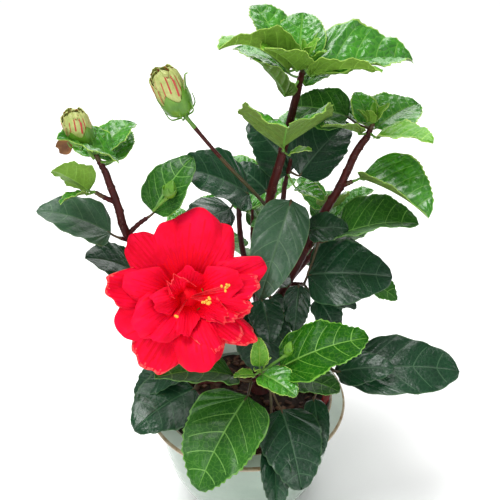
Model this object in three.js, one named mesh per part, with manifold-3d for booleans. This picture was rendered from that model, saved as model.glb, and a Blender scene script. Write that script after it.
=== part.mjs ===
// A potted hibiscus shrub with one large double bloom, as a three.js scene graph.
// Millimetres, +Z up. The origin is the middle of the flat underside of the pot.
//
// LIMBS holds the woody stems, each one tapering limb. MASSES holds the leafy shoots: each has one
// stem that grows from a limb, and leaves whose stalks root in that stem. The leaves of the front
// have places of their own. Those of the back follow a seeded spiral round their stem, which skips
// any leaf that has no room.

import * as THREE from 'three';
import { mergeGeometries, mergeVertices } from 'three/addons/utils/BufferGeometryUtils.js';
import Module from 'manifold-3d';

const wasm = await Module();
wasm.setup();

// ---------------------------------------------------------------- driving sizes

const GAP = 0.3;                 // clear space between neighbouring solids
const GOLDEN_ANGLE = 137.5;      // turn from one leaf to the next round a stem, degrees

const POT = {
  footRadius: 42, bodyRadius: 75, bodyTop: 99, swell: 2.55, tuck: 1.35,
  lipRadius: 85.5, lipZ: 103.5, lipEdge: 2, lipRound: 1, mouthRadius: 73, height: 108,
  wall: 6, floor: 9, neckRadius: 69, footChamfer: 1.5, cornerFill: 3,
  sides: 32, outerHeights: [2, 8, 20, 42, 70], innerSteps: 4, innerSpread: 1.4,
};
const SOIL_TOP = 96;

const LEAF = {
  thickness: 0.022,              // at the midrib, of the length
  minThickness: 1.1,
  roundness: 0.62,               // lower puts the widest place nearer the stalk, unless a leaf has its own
  fullness: 0.55,                // lower makes the ends blunter
  stalkRadius: 1.15,             // at the middle of the stalk
  stalkTaper: 0.15,              // the foot is thicker and the end thinner by this share
  stalkSag: 0.08,                // of the stalk's reach
  rootDepth: 0.09,               // how far the stalk runs on under the blade, of its length
};

const BUD = { sides: 7, stalkRadius: 1.2, rootDepth: 0.15 };

const AGES = {
  young: { color: 0x7fb52c, width: 0.70, fold: 18, arch: 0.05 },
  bright: { color: 0x4c9a2a, width: 0.78, fold: 14, arch: 0.06 },
  grown: { color: 0x2f6b34, width: 0.80, fold: 8, arch: 0.07 },
  old: { color: 0x1f4a38, width: 0.78, fold: 6, arch: 0.08 },
};

// ---------------------------------------------------------------- the woody limbs

// Each limb runs through its points; a bough starts on its parent's centre line and is cut clear
// of it. radii are at the foot and the tip.
const LIMBS = [
  { name: 'trunk', radii: [5.2, 2.7], flare: 3.5,
    points: [
      [12, 18, SOIL_TOP + GAP], [12, 18, 104], [10, 13, 160], [13, 9, 230],
      [17, 8, 286], [27, 8, 331], [37, 12, 378],
    ] },
  { name: 'bough_right', from: 'trunk', radii: [3.8, 2.6],
    points: [[10, 13, 162], [32, 6, 215], [56, 1, 278], [69, 0, 306], [79, 0, 333], [86, 0, 345]] },
  { name: 'bough_left', from: 'trunk', radii: [3.9, 2.5],
    points: [
      [10, 14, 148], [-30, -6, 195], [-66, -27, 248], [-84, -35, 285], [-89, -35, 309], [-95, -35, 334],
    ] },
  { name: 'bough_behind_left', from: 'trunk', radii: [2.7, 1.9],
    points: [[11, 11, 188], [0, 24, 222], [-5, 28, 252], [-6, 27, 286]] },
  { name: 'bough_behind_right', from: 'trunk', radii: [2.7, 2.0],
    points: [[12, 10, 204], [18, 26, 234], [28, 32, 272], [30, 31, 292]] },
  { name: 'bough_back_left', from: 'trunk', radii: [2.8, 2.0],
    points: [[11, 15, 128], [-12, 34, 158], [-38, 50, 188], [-46, 54, 203]] },
  { name: 'bough_back_right', from: 'trunk', radii: [2.8, 2.0],
    points: [[11, 12, 180], [32, 28, 200], [56, 46, 222], [62, 50, 235]] },
  { name: 'bough_back', from: 'trunk', radii: [2.6, 1.9],
    points: [[11, 14, 144], [9, 42, 170], [6, 70, 205], [5, 76, 222]] },
  { name: 'bough_low_front', from: 'trunk', radii: [2.7, 1.9],
    points: [[11, 15, 128], [12, -8, 144], [12, -40, 158], [11, -64, 176]] },
  { name: 'bough_low_right', from: 'trunk', radii: [2.8, 2.0],
    points: [[11, 16, 116], [34, 0, 138], [52, -16, 154], [60, -24, 160]] },
  { name: 'bough_low_left', from: 'trunk', radii: [2.5, 1.8],
    points: [[12, 17, 110], [-10, -2, 124], [-24, -14, 133], [-34, -19, 136]] },
];

// ---------------------------------------------------------------- the leafy masses

// leaf(base x, y, z of the blade, azimuth, rise, length, shape): azimuth and rise, in degrees,
// point from the blade's base to its tip. look may set the age, the width over the length, the
// roll and the fold in degrees (fold lifts both halves), the arch (bulge over the length) and the
// roundness.
function leaf(x, y, z, azimuth, rise, length, look = {}) {
  return { base: [x, y, z], azimuth, rise, length, ...look };
}

const MASSES = [
  { name: 'top_shoot', on: 'trunk', age: 'bright',
    stem: [[37, 12, 378], [39, 11, 388], [40, 9, 396]], radii: [2.6, 1.5],
    leaves: [
      leaf(28, 20, 396, 138, 46, 44, { width: 1 }),
      leaf(37, 20, 394, 82, 46, 38, { width: 1 }),
      leaf(29, 0, 393, -146, 25.5, 60, { age: 'young', width: 0.72, roll: -20, fold: 30, arch: 0.12 }),
      leaf(35, -2, 394, -130, 33, 42, { age: 'young', width: 0.85 }),
      leaf(28, 5, 374, -145, 48, 42, { width: 0.7 }),
      leaf(46, 12, 390, 12, 2, 74, { width: 0.78, roll: -20, fold: 30 }),
      leaf(44, 0, 390, -29, 13, 52, { age: 'young', width: 0.6, roll: 30, fold: 10 }),
      leaf(42, 16, 378, 40, 12, 30),
      leaf(42, 10, 397, 20, 60, 17, { age: 'young' }),
      leaf(38, 8, 398, -160, 62, 15, { age: 'young' }),
      leaf(30, 26, 384, 150, 14, 46),
      leaf(46, 26, 384, 66, 16, 50),
    ] },
  { name: 'upper_front_leaf', on: 'trunk', age: 'bright',
    stem: [[27, 8, 331], [27, 1, 334]], radii: [2.0, 1.6],
    leaves: [
      leaf(27, 0, 338, -90, 32, 74, { width: 0.98, fold: 28 }),
      leaf(31, 1, 331, -20, 20, 18, { age: 'young' }),
    ] },
  { name: 'behind_right_shoot', on: 'bough_behind_right', age: 'old',
    stem: [[30, 31, 292], [33, 29, 308], [34, 28, 316]], radii: [2.0, 1.3],
    leaves: [
      leaf(41, 24, 304, 31, 38, 56, { width: 0.85, fold: 18, roll: -24 }),
      leaf(34, 31, 303, 159, 48, 50, { width: 0.8, roll: 32 }),
      leaf(38, 15, 298, -30, -10, 24, { age: 'bright', width: 0.9 }),
      leaf(36, 38, 314, 85, 30, 46),
    ] },
  { name: 'behind_left_shoot', on: 'bough_behind_left', age: 'old',
    stem: [[-6, 27, 286], [-4, 26, 298], [-3, 25, 306]], radii: [1.9, 1.3],
    leaves: [
      leaf(2, 14, 293, -155, 30, 66, { width: 0.8, roll: 30, fold: 10 }),
      leaf(16, 25, 290, 155, 30, 34, { width: 0.85, roll: 15 }),
      leaf(6, 38, 298, 150, 26, 24, { age: 'bright', width: 0.95 }),
      leaf(-8, 34, 298, 165, 22, 30, { width: 0.8 }),
      leaf(-12, 18, 279, -155, -22, 50, { width: 0.8, roll: 15 }),
    ] },
  { name: 'right_shoot', on: 'bough_right', age: 'bright',
    stem: [[86, 0, 345], [88, 1, 350], [90, 2, 355]], radii: [2.5, 1.5],
    leaves: [
      leaf(74, 16, 354, 160, 4, 44, { age: 'grown', width: 0.9, roll: 28 }),
      leaf(81, -1, 348, -160, 18, 32, { width: 0.9, roll: -15 }),
      leaf(93, 10, 348, 34, 15, 42, { width: 1, roll: -16 }),
      leaf(92, -5, 347, -31, 8, 41, { age: 'young', width: 0.85 }),
      leaf(87, 9, 352, 115, 46, 25, { width: 0.95 }),
      leaf(92, 3, 356, 10, 55, 15, { age: 'young' }),
      leaf(88, 0, 356, -120, 60, 13, { age: 'young' }),
      leaf(90, 16, 346, 85, 10, 46),
    ] },
  { name: 'right_side_leaf', on: 'bough_right', age: 'bright',
    stem: [[69, 0, 306], [78, -3, 312]], radii: [2.2, 1.6],
    leaves: [
      leaf(83, -4, 315, -37, -14, 58, { width: 1.05, fold: 38 }),
    ] },
  { name: 'middle_right_leaves', on: 'bough_right', age: 'old',
    stem: [[50, 2, 263], [57, -8, 264]], radii: [2.0, 1.5],
    leaves: [
      leaf(68, -13, 272, -18, 20, 61, { width: 0.92, fold: 25, roll: -8 }),
      leaf(46, -12, 276, -5, 6, 30, { width: 0.9, roll: -25 }),
      leaf(47, -14, 238, -10, 5, 64, { width: 0.85, roll: -36 }),
    ] },
  { name: 'right_low_leaves', on: 'bough_right', age: 'old',
    stem: [[33, 6, 217], [46, 2, 219]], radii: [1.9, 1.5],
    leaves: [
      leaf(54, 1, 211, -18, -10, 36, { width: 0.75 }),
      leaf(56, -8, 212, -43, -50, 34, { width: 0.9 }),
      leaf(41, -10, 226, -100, -66, 38, { width: 0.55 }),
      leaf(54, 10, 242, 8, 8, 38, { width: 0.85 }),
    ] },
  { name: 'middle_front_leaf', on: 'trunk', age: 'grown',
    stem: [[16, 8, 280], [25, 0, 292]], radii: [1.9, 1.5],
    leaves: [
      leaf(33, -10, 300, -118, -50, 76, { width: 0.52, roll: 20 }),
    ] },
  { name: 'inner_leaves', on: 'trunk', age: 'old',
    stem: [[12, 9, 222], [10, -6, 226], [8, -16, 227]], radii: [2.2, 1.6],
    leaves: [
      leaf(12, -24, 222, -75, -42, 34, { width: 0.8 }),
      leaf(0, -22, 226, -150, -30, 46),
      leaf(20, -5, 212, -20, -60, 26, { width: 0.85 }),
      leaf(16, -12, 232, -60, 20, 30, { width: 0.8 }),
      leaf(13, -16, 206, -92, -62, 50, { width: 0.9 }),
    ] },
  { name: 'left_shoot', on: 'bough_left', age: 'bright',
    stem: [[-95, -35, 334], [-98, -36, 342], [-100, -37, 348]], radii: [2.4, 1.4],
    leaves: [
      leaf(-100, -31, 345, 46, 24, 36, { width: 0.9 }),
      leaf(-86, -41, 346, -154, 32, 42, { width: 0.9, fold: 22, roll: 14 }),
      leaf(-102, -26, 341, 130, 22, 34),
      leaf(-92, -24, 337, 85, 18, 36),
      leaf(-101, -36, 349, 170, 60, 14, { age: 'young' }),
    ],
    buds: [
      { foot: [-101, -38, 345], base: [-105, -44, 358], azimuth: -130, rise: 74, length: 25, radius: 9 },
    ] },
  { name: 'left_side_shoot', on: 'bough_left', age: 'young',
    stem: [[-90, -35, 311], [-97, -39, 317], [-102, -43, 323]], radii: [2.0, 1.4],
    leaves: [
      leaf(-105, -45, 325, -170, 38, 28, { width: 1.2, roll: -56 }),
      leaf(-106, -48, 324, -142, -2, 20, { age: 'bright', width: 1.05, roll: -20 }),
    ] },
  { name: 'left_inner_leaf', on: 'bough_left', age: 'grown',
    stem: [[-84, -35, 285], [-76, -34, 293], [-69, -33, 298]], radii: [1.9, 1.5],
    leaves: [
      leaf(-65, -31, 301, 34, 46, 48, { width: 0.76, roll: -20 }),
    ],
    buds: [{ foot: [-65, -33, 303], base: [-54, -36, 315], azimuth: 20, rise: 70, length: 13, radius: 5 }] },
  { name: 'left_outer_leaf', on: 'bough_left', age: 'grown',
    stem: [[-83, -34, 280], [-89, -36, 283]], radii: [1.7, 1.4],
    leaves: [
      leaf(-95, -38, 288, -170, 26, 53, { width: 0.78, roll: 18 }),
    ] },
  { name: 'left_low_leaf', on: 'bough_left', age: 'old',
    stem: [[-66, -27, 248], [-76, -26, 249]], radii: [1.8, 1.5],
    leaves: [
      leaf(-82, -26, 247, -145, 36, 46, { width: 0.9, roll: 22 }),
    ] },
  { name: 'low_front_shoot', on: 'bough_low_front', age: 'bright',
    stem: [[11, -64, 176], [11, -68, 184], [11, -71, 191]], radii: [1.8, 1.2],
    leaves: [
      leaf(26, -67, 191, 3, 22, 68, { width: 0.74, roll: -12 }),
      leaf(12, -76, 192, -40, -6, 31, { width: 0.92 }),
      leaf(10, -72, 196, 97, 70, 22, { age: 'young', width: 0.65 }),
      leaf(6, -74, 190, -160, 10, 16, { age: 'young' }),
    ],
    buds: [{ foot: [12, -70, 190], base: [30, -71, 206], azimuth: 0, rise: 80, length: 12, radius: 3.5 }] },
  { name: 'low_front_left_leaves', on: 'bough_low_front', age: 'grown',
    stem: [[12, -38, 157], [4, -46, 160]], radii: [2.0, 1.6],
    leaves: [
      leaf(1, -62, 159, -126, -36, 78, { width: 0.84 }),
      leaf(-10, -54, 172, -153, 20, 66, { age: 'bright', width: 0.7, fold: 15 }),
    ] },
  { name: 'low_front_right_leaves', on: 'bough_low_front', age: 'old',
    stem: [[12, -42, 159], [19, -50, 158]], radii: [2.0, 1.6],
    leaves: [
      leaf(27, -64, 147, -73, -36, 61, { width: 0.8 }),
      leaf(20, -84, 134, -84, -56, 52, { width: 0.52, fold: 34 }),
      leaf(38, -46, 162, -30, 6, 38, { age: 'bright', width: 0.9 }),
    ] },
  { name: 'low_left_leaves', on: 'bough_low_left', age: 'old',
    stem: [[-34, -19, 136], [-41, -22, 137]], radii: [1.8, 1.4],
    leaves: [
      leaf(-43, -25, 134, -139, -7, 60, { width: 0.98, roll: 12 }),
      leaf(-56, -12, 144, -152, -16, 42, { width: 0.85 }),
    ] },
  { name: 'low_right_leaves', on: 'bough_low_right', age: 'old',
    stem: [[60, -24, 160], [65, -28, 162]], radii: [2.0, 1.6],
    leaves: [
      leaf(70, -34, 160, -2, 2, 99, { width: 0.52, roll: -24, roundness: 0.95 }),
      leaf(53, -52, 147, -84, -34, 44, { width: 0.44 }),
      leaf(72, -42, 166, -14, 16, 44, { width: 0.66, roll: -26 }),
    ] },
  { name: 'back_left_shoot', on: 'bough_back_left', age: 'grown',
    stem: [[-46, 54, 203], [-48, 56, 214], [-49, 58, 224]], radii: [2.0, 1.2],
    leaves: [], spiral: { count: 11, start: 100, length: [56, 34], rise: [-18, 45], low: -34, seed: 11 } },
  { name: 'back_right_shoot', on: 'bough_back_right', age: 'grown',
    stem: [[62, 50, 235], [65, 52, 245], [67, 54, 254]], radii: [2.0, 1.2],
    leaves: [], spiral: { count: 11, start: -20, length: [56, 34], rise: [-15, 45], low: -34, seed: 23 } },
  { name: 'back_shoot', on: 'bough_back', age: 'grown',
    stem: [[5, 76, 222], [5, 79, 234], [5, 81, 246]], radii: [1.9, 1.2],
    leaves: [], spiral: { count: 12, start: 90, length: [54, 34], rise: [-20, 45], low: -40, seed: 37 } },
];

// ---------------------------------------------------------------- the bloom and the tall bud

const BLOOM = {
  name: 'bloom', on: 'bough_left', centre: [-39, -75, 259], azimuth: -84, rise: 34, throat: 24,
  stalk: [[-34, -8, 200], [-42, -22, 222], [-43, -40, 238]], stalkRadius: 1.9,
  calyxLength: 24, calyxRadius: 12, calyxDepth: 0.5,
  clawRadius: 7,                 // of the ring the petals stand on, inside the calyx
  thickness: 1.4, arch: 0.12, narrow: 36,
  ruffle: 2, ruffleWaves: 3, ruffleTurn: 2.1,
};
// turn is the way the petal points, anticlockwise from the right as the bloom is faced; reach is
// from the middle to the tip, lift is how far the tip stands in front of the bloom's middle.
const petal = (turn, reach, width, lift = 0) => ({ turn, reach, width, lift });
const PETALS = [
  petal(81, 61, 52, -4), petal(107, 55, 40, -8), petal(56, 56, 40, -5), petal(134, 59, 36, -10),
  petal(176, 59, 34, -2), petal(-160, 52, 46, -1), petal(-128, 56, 42, -3), petal(-81, 50, 42, 3),
  petal(24, 57, 32, -2), petal(6, 47, 26, 2), petal(-31, 54, 24, -3), petal(-47, 43, 26, 1),
  petal(-156, 39, 36, 8), petal(-12, 42, 24, 3), petal(163, 43, 30, 4),
];

const TALL_BUD = {
  name: 'tall_bud', on: 'trunk', stalkRadius: 1.35,
  stalk: [[17, 8, 284], [5, -5, 305], [-8, -12, 323], [-23, -22, 346], [-40, -33, 374]],
  base: [-40, -33, 374], azimuth: -150, rise: 64, length: 36, radius: 10.3,
};

// ---------------------------------------------------------------- directions and curves

const rad = THREE.MathUtils.degToRad;
const { lerp } = THREE.MathUtils;
const UP = new THREE.Vector3(0, 0, 1);
const vector = ([x, y, z]) => new THREE.Vector3(x, y, z);
const curveThrough = (points) => new THREE.CatmullRomCurve3(points.map(vector), false, 'catmullrom', 0.5);

function direction(azimuth, rise) {
  const flat = Math.cos(rad(rise));
  return new THREE.Vector3(flat * Math.cos(rad(azimuth)), flat * Math.sin(rad(azimuth)), Math.sin(rad(rise)));
}

// A linear congruential generator: the same leaves come out of the same seed in any language.
function seededRandom(seed) {
  let state = seed;
  return () => {
    state = (state * 1664525 + 1013904223) % 4294967296;
    return state / 4294967296;
  };
}

// ---------------------------------------------------------------- solids

function solidOf(geometry) {
  const bare = new THREE.BufferGeometry();
  bare.setAttribute('position', geometry.attributes.position);
  bare.setIndex(geometry.index);
  const merged = mergeVertices(bare, 1e-4);
  const corners = merged.index.array;
  const faces = [];
  for (let i = 0; i < corners.length; i += 3) {
    const [a, b, c] = corners.slice(i, i + 3);
    if (a !== b && b !== c && c !== a) faces.push(a, b, c);
  }
  return new wasm.Manifold(new wasm.Mesh({
    numProp: 3,
    vertProperties: new Float32Array(merged.attributes.position.array),
    triVerts: new Uint32Array(faces),
  }));
}

function geometryOf(solid) {
  const mesh = solid.getMesh();
  const geometry = new THREE.BufferGeometry();
  geometry.setAttribute('position', new THREE.BufferAttribute(new Float32Array(mesh.vertProperties), 3));
  geometry.setIndex(new THREE.BufferAttribute(new Uint32Array(mesh.triVerts), 1));
  return geometry;
}

// The one connected body that holds nearly all of a solid: cutting can leave loose scraps.
function mainBody(solid) {
  return solid.decompose().reduce((best, piece) => (piece.volume() > best.volume() ? piece : best));
}

// Moves every vertex of a geometry by a rule.
function shape(geometry, rule) {
  const place = geometry.attributes.position;
  const point = new THREE.Vector3();
  for (let i = 0; i < place.count; i += 1) {
    const moved = rule(point.fromBufferAttribute(place, i));
    place.setXYZ(i, moved.x, moved.y, moved.z);
  }
  return geometry;
}

// A round limb along a curve. flare spreads its foot, which is then cut level. extra widens it and
// runs it on past its tip, for clearance.
function limbGeometry(points, [footRadius, tipRadius], { sides = 6, steps = 0, flare = 0, extra = 0 } = {}) {
  const curve = curveThrough(points);
  const segments = steps || (points.length - 1) * 2;
  const frames = curve.computeFrenetFrames(segments, false);
  const cylinder = new THREE.CylinderGeometry(1, 1, 1, sides, segments);
  return shape(cylinder, (p) => {
    const step = Math.round((p.y + 0.5) * segments);
    const along = step / segments;
    const spread = flare * Math.max(0, 1 - along * (points.length - 1)) ** 2;
    const radius = lerp(footRadius, tipRadius, along) + spread + extra;
    const onAxis = Math.hypot(p.x, p.z) < 0.5;
    const angle = Math.atan2(p.z, p.x);
    const out = new THREE.Vector3()
      .addScaledVector(frames.normals[step], Math.cos(angle))
      .addScaledVector(frames.binormals[step], -Math.sin(angle));
    if (flare > 0 && step === 0) out.setZ(0);
    const place = curve.getPoint(along);
    if (step === segments) place.addScaledVector(frames.tangents[step], extra);
    return onAxis ? place : place.addScaledVector(out, radius);
  });
}

// The blade of a leaf or petal: two sheets that meet along its outline, furthest apart along the
// middle. Both are split along the same diagonals, so they never pass through each other.
// frame holds base, along, side and normal; outline gives the half width at a fraction of the length.
function bladeGeometry(frame, { length, thickness, outline, stations, columns, fold, arch, ruffle }) {
  const rows = stations.length - 1;
  const sinFold = Math.sin(rad(fold));
  const cosFold = Math.cos(rad(fold));
  const sheet = (level) => shape(new THREE.PlaneGeometry(2, 1, columns, rows), (p) => {
    const u = stations[Math.round((p.y + 0.5) * rows)];
    const half = outline(u);
    const across = p.x;
    const bulge = arch * length * 4 * u * (1 - u);
    const lift = bulge + Math.abs(across) * half * sinFold + (ruffle ? ruffle(u, across) : 0);
    const depth = u > 0 && u < 1 ? level * thickness * (1 - across * across) : 0;
    return frame.base.clone()
      .addScaledVector(frame.along, u * length)
      .addScaledVector(frame.side, across * half * cosFold)
      .addScaledVector(frame.normal, lift + depth);
  });
  const lower = sheet(-0.5);
  lower.index.array.reverse();
  return mergeGeometries([sheet(0.5), lower]);
}

// A leaf's own axes: along it, across it and out of its upper face.
function leafFrame(spec) {
  const along = direction(spec.azimuth, spec.rise);
  const level = along.clone().cross(UP).normalize();
  const upright = level.clone().cross(along);
  const roll = rad(spec.roll ?? 0);
  return {
    base: vector(spec.base),
    along,
    side: level.clone().multiplyScalar(Math.cos(roll)).addScaledVector(upright, Math.sin(roll)),
    normal: upright.clone().multiplyScalar(Math.cos(roll)).addScaledVector(level, -Math.sin(roll)),
  };
}

// Stations along a blade, as fractions of its length.
const LARGE_STATIONS = [0, 0.1, 0.36, 0.68, 0.9, 1];
const SMALL_STATIONS = [0, 0.16, 0.5, 0.82, 1];
const SMALL_LEAF = 40;

function leafOutline(u, roundness = LEAF.roundness) {
  return u <= 0 || u >= 1 ? 0 : Math.sin(Math.PI * u ** roundness) ** LEAF.fullness;
}

function leafSolids(spec, age, stem) {
  const look = { ...AGES[spec.age ?? age], ...spec };
  const frame = leafFrame(spec);
  const halfWidth = (look.width * look.length) / 2;
  const blade = bladeGeometry(frame, {
    length: look.length,
    thickness: Math.max(LEAF.minThickness, look.length * LEAF.thickness) / Math.cos(rad(look.fold)),
    outline: (u) => leafOutline(u, look.roundness) * halfWidth,
    stations: look.length < SMALL_LEAF ? SMALL_STATIONS : LARGE_STATIONS,
    columns: 2,
    fold: look.fold,
    arch: look.arch,
  });
  return [solidOf(blade), solidOf(stalkGeometry(frame, look, stem))];
}

// A leaf stalk from the nearest place on the stem to just under the blade.
function stalkGeometry(frame, look, stem) {
  const root = nearestPoint(stem, frame.base);
  const reach = frame.base.distanceTo(root);
  const bend = root.clone().lerp(frame.base, 0.5).addScaledVector(UP, -LEAF.stalkSag * reach);
  const end = frame.base.clone()
    .addScaledVector(frame.along, LEAF.rootDepth * look.length)
    .addScaledVector(frame.normal, look.arch * look.length * 4 * LEAF.rootDepth * (1 - LEAF.rootDepth));
  const radii = [LEAF.stalkRadius * (1 + LEAF.stalkTaper), LEAF.stalkRadius * (1 - LEAF.stalkTaper)];
  return limbGeometry([root, bend, end].map((p) => p.toArray()), radii, { sides: 3, steps: 2 });
}

// The nearest place on the outer two thirds of a stem.
function nearestPoint(points, place) {
  const samples = curveThrough(points).getPoints(12).slice(4);
  return samples.reduce((best, p) => (p.distanceTo(place) < best.distanceTo(place) ? p : best)).clone();
}

// A bud: a swollen cone of petals in a calyx, on a stalk of its own.
function budSolids(bud) {
  const axis = direction(bud.azimuth, bud.rise);
  const turn = new THREE.Quaternion().setFromUnitVectors(new THREE.Vector3(0, 1, 0), axis);
  const profile = [[0, 0], [0.45, 0.02], [0.95, 0.25], [1, 0.5], [0.72, 0.82], [0.3, 1], [0, 1]];
  const scaled = profile.map(([r, h]) => new THREE.Vector2(r * bud.radius, h * bud.length));
  const lathe = new THREE.LatheGeometry(scaled, BUD.sides);
  lathe.applyQuaternion(turn);
  lathe.translate(...bud.base);
  const stalkEnd = vector(bud.base).addScaledVector(axis, bud.length * BUD.rootDepth).toArray();
  const stalk = bud.stalk ? [...bud.stalk, stalkEnd] : [bud.foot, stalkEnd];
  const radius = bud.stalkRadius ?? BUD.stalkRadius;
  return [solidOf(lathe), solidOf(limbGeometry(stalk, [radius, radius], { sides: 5 }))];
}

// ---------------------------------------------------------------- leaves in a spiral

const SPIRAL = {
  azimuthScatter: 24, riseScatter: 16, sizeScatter: 0.2,   // full width of the seeded scatter
  stalkRise: [10, 60],           // of the stalks, from the lowest leaf to the top one, degrees
  stalkReach: 0.34,              // of the blade's length
  stemStart: 0.1, stemEnd: 0.95, // the part of the stem that bears leaves
  brightFrom: 0.7,               // above this share of the count the leaves are bright
};

// Places the leaves of a shoot round its stem, from the lowest, largest leaf to the top.
function spiralLeaves(mass) {
  const { count, start, length, rise, low, seed } = mass.spiral;
  const random = seededRandom(seed);
  const scatter = (width) => (random() - 0.5) * width;
  const stem = curveThrough(mass.stem);
  const leaves = [];
  for (let i = 0; i < count; i += 1) {
    const along = i / (count - 1);
    const azimuth = start + i * GOLDEN_ANGLE + scatter(SPIRAL.azimuthScatter);
    const size = lerp(...length, along) * (1 + scatter(SPIRAL.sizeScatter));
    const tilt = lerp(...rise, along) + scatter(SPIRAL.riseScatter);
    const stalk = direction(azimuth, lerp(...SPIRAL.stalkRise, along)).multiplyScalar(size * SPIRAL.stalkReach);
    const base = stem.getPoint(lerp(SPIRAL.stemStart, SPIRAL.stemEnd, along))
      .add(stalk)
      .addScaledVector(UP, low * (1 - along));
    const age = along > SPIRAL.brightFrom ? 'bright' : mass.age;
    leaves.push(leaf(...base.toArray(), azimuth, tilt, size, { age }));
  }
  return leaves;
}

const CLEARANCE = 9;             // between the sample points of two masses
const SAMPLES_ALONG = [0, 0.25, 0.5, 0.75, 1];
const SAMPLES_ACROSS = [-0.9, 0, 0.9];

// Points spread over a leaf's blade.
function samplePoints(spec, age) {
  const frame = leafFrame(spec);
  const halfWidth = ((spec.width ?? AGES[spec.age ?? age].width) * spec.length) / 2;
  return SAMPLES_ALONG.flatMap((u) => SAMPLES_ACROSS.map((v) => frame.base.clone()
    .addScaledVector(frame.along, u * spec.length)
    .addScaledVector(frame.side, v * halfWidth * leafOutline(lerp(0.05, 0.95, u)))));
}

// ---------------------------------------------------------------- pot and soil

// The outer radius of the pot's bowl at a height.
function potRadius(z) {
  const depth = (POT.bodyTop - z) / POT.bodyTop;
  const bulge = Math.max(0, 1 - depth ** POT.swell) ** (1 / POT.tuck);
  return lerp(POT.footRadius, POT.bodyRadius, bulge);
}

// The hollow of the pot from the middle of its floor up to a height, shrunk all round.
function innerProfile(shrink, top) {
  const bottom = POT.floor + shrink;
  const profile = [[0, bottom], [potRadius(bottom) - POT.wall - POT.cornerFill - shrink, bottom]];
  for (let i = 1; i <= POT.innerSteps; i += 1) {
    const z = lerp(bottom, top, (i / POT.innerSteps) ** POT.innerSpread);
    profile.push([Math.min(potRadius(z) - POT.wall, POT.neckRadius) - shrink, z]);
  }
  return profile;
}

function latheGeometry(profile) {
  const lathe = new THREE.LatheGeometry(profile.map(([r, z]) => new THREE.Vector2(r, z)), POT.sides);
  return lathe.rotateX(Math.PI / 2);
}

function potGeometry() {
  const outer = [[0, 0], [POT.footRadius - POT.footChamfer, 0]];
  for (const z of POT.outerHeights) outer.push([potRadius(z), z]);
  outer.push([POT.bodyRadius, POT.bodyTop]);
  outer.push([POT.lipRadius - POT.lipRound, POT.lipZ - POT.lipEdge]);
  outer.push([POT.lipRadius, POT.lipZ]);
  outer.push([POT.mouthRadius + POT.lipRound, POT.height]);
  outer.push([POT.mouthRadius - POT.lipRound, POT.height - POT.lipRound]);
  return latheGeometry([...outer, ...innerProfile(0, POT.bodyTop).reverse()]);
}

function soilGeometry() {
  return latheGeometry([...innerProfile(GAP, SOIL_TOP), [0, SOIL_TOP]]);
}

// ---------------------------------------------------------------- assembly

const hibiscus = new THREE.Group();

function addPart(name, geometry, color, roughness) {
  const mesh = new THREE.Mesh(geometry, new THREE.MeshStandardMaterial({ color, roughness, metalness: 0 }));
  mesh.name = name;
  hibiscus.add(mesh);
}

addPart('pot', potGeometry(), 0xbcc8ba, 0.3);
addPart('soil', soilGeometry(), 0x3a2417, 0.95);

// The limbs, and around each the space that what grows from it keeps clear.
const clearSpace = {};
for (const limb of LIMBS) {
  let solid = solidOf(limbGeometry(limb.points, limb.radii, { flare: limb.flare }));
  if (limb.from) solid = mainBody(solid.subtract(clearSpace[limb.from]));
  clearSpace[limb.name] = solidOf(limbGeometry(limb.points, limb.radii, { flare: limb.flare, extra: GAP }));
  addPart(limb.name, geometryOf(solid), 0x4a2320, 0.7);
}

// Leaves that have a place of their own come first; the spirals then fill what is free.
const taken = LIMBS.flatMap((limb) => (
  curveThrough(limb.points).getPoints(14).map((point) => ({ owner: limb.name, point }))
));
for (const mass of MASSES) {
  for (const spec of mass.leaves) {
    for (const point of samplePoints(spec, mass.age)) taken.push({ owner: mass.name, point });
  }
}
for (const mass of MASSES.filter((m) => m.spiral)) {
  for (const spec of spiralLeaves(mass)) {
    const points = samplePoints(spec, mass.age);
    const others = taken.filter((t) => t.owner !== mass.name && t.owner !== mass.on);
    if (points.every((p) => others.every((t) => t.point.distanceTo(p) > CLEARANCE))) {
      mass.leaves.push(spec);
      for (const point of points) taken.push({ owner: mass.name, point });
    }
  }
}

for (const mass of MASSES) {
  const pieces = [solidOf(limbGeometry(mass.stem, mass.radii, { sides: 5, steps: mass.stem.length - 1 }))];
  for (const spec of mass.leaves) pieces.push(...leafSolids(spec, mass.age, mass.stem));
  for (const bud of mass.buds ?? []) pieces.push(...budSolids(bud));
  const grown = wasm.Manifold.union(pieces).subtract(clearSpace[mass.on]);
  addPart(mass.name, geometryOf(mainBody(grown)), AGES[mass.age].color, 0.45);
}

const CLAW = 0.07;               // phase of the petal's outline at its claw
const PETAL_SPAN = 0.79;         // phase from the claw to the tip
const petalOutline = (u) => Math.sin(Math.PI * (CLAW + PETAL_SPAN * u ** 1.5));

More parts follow.
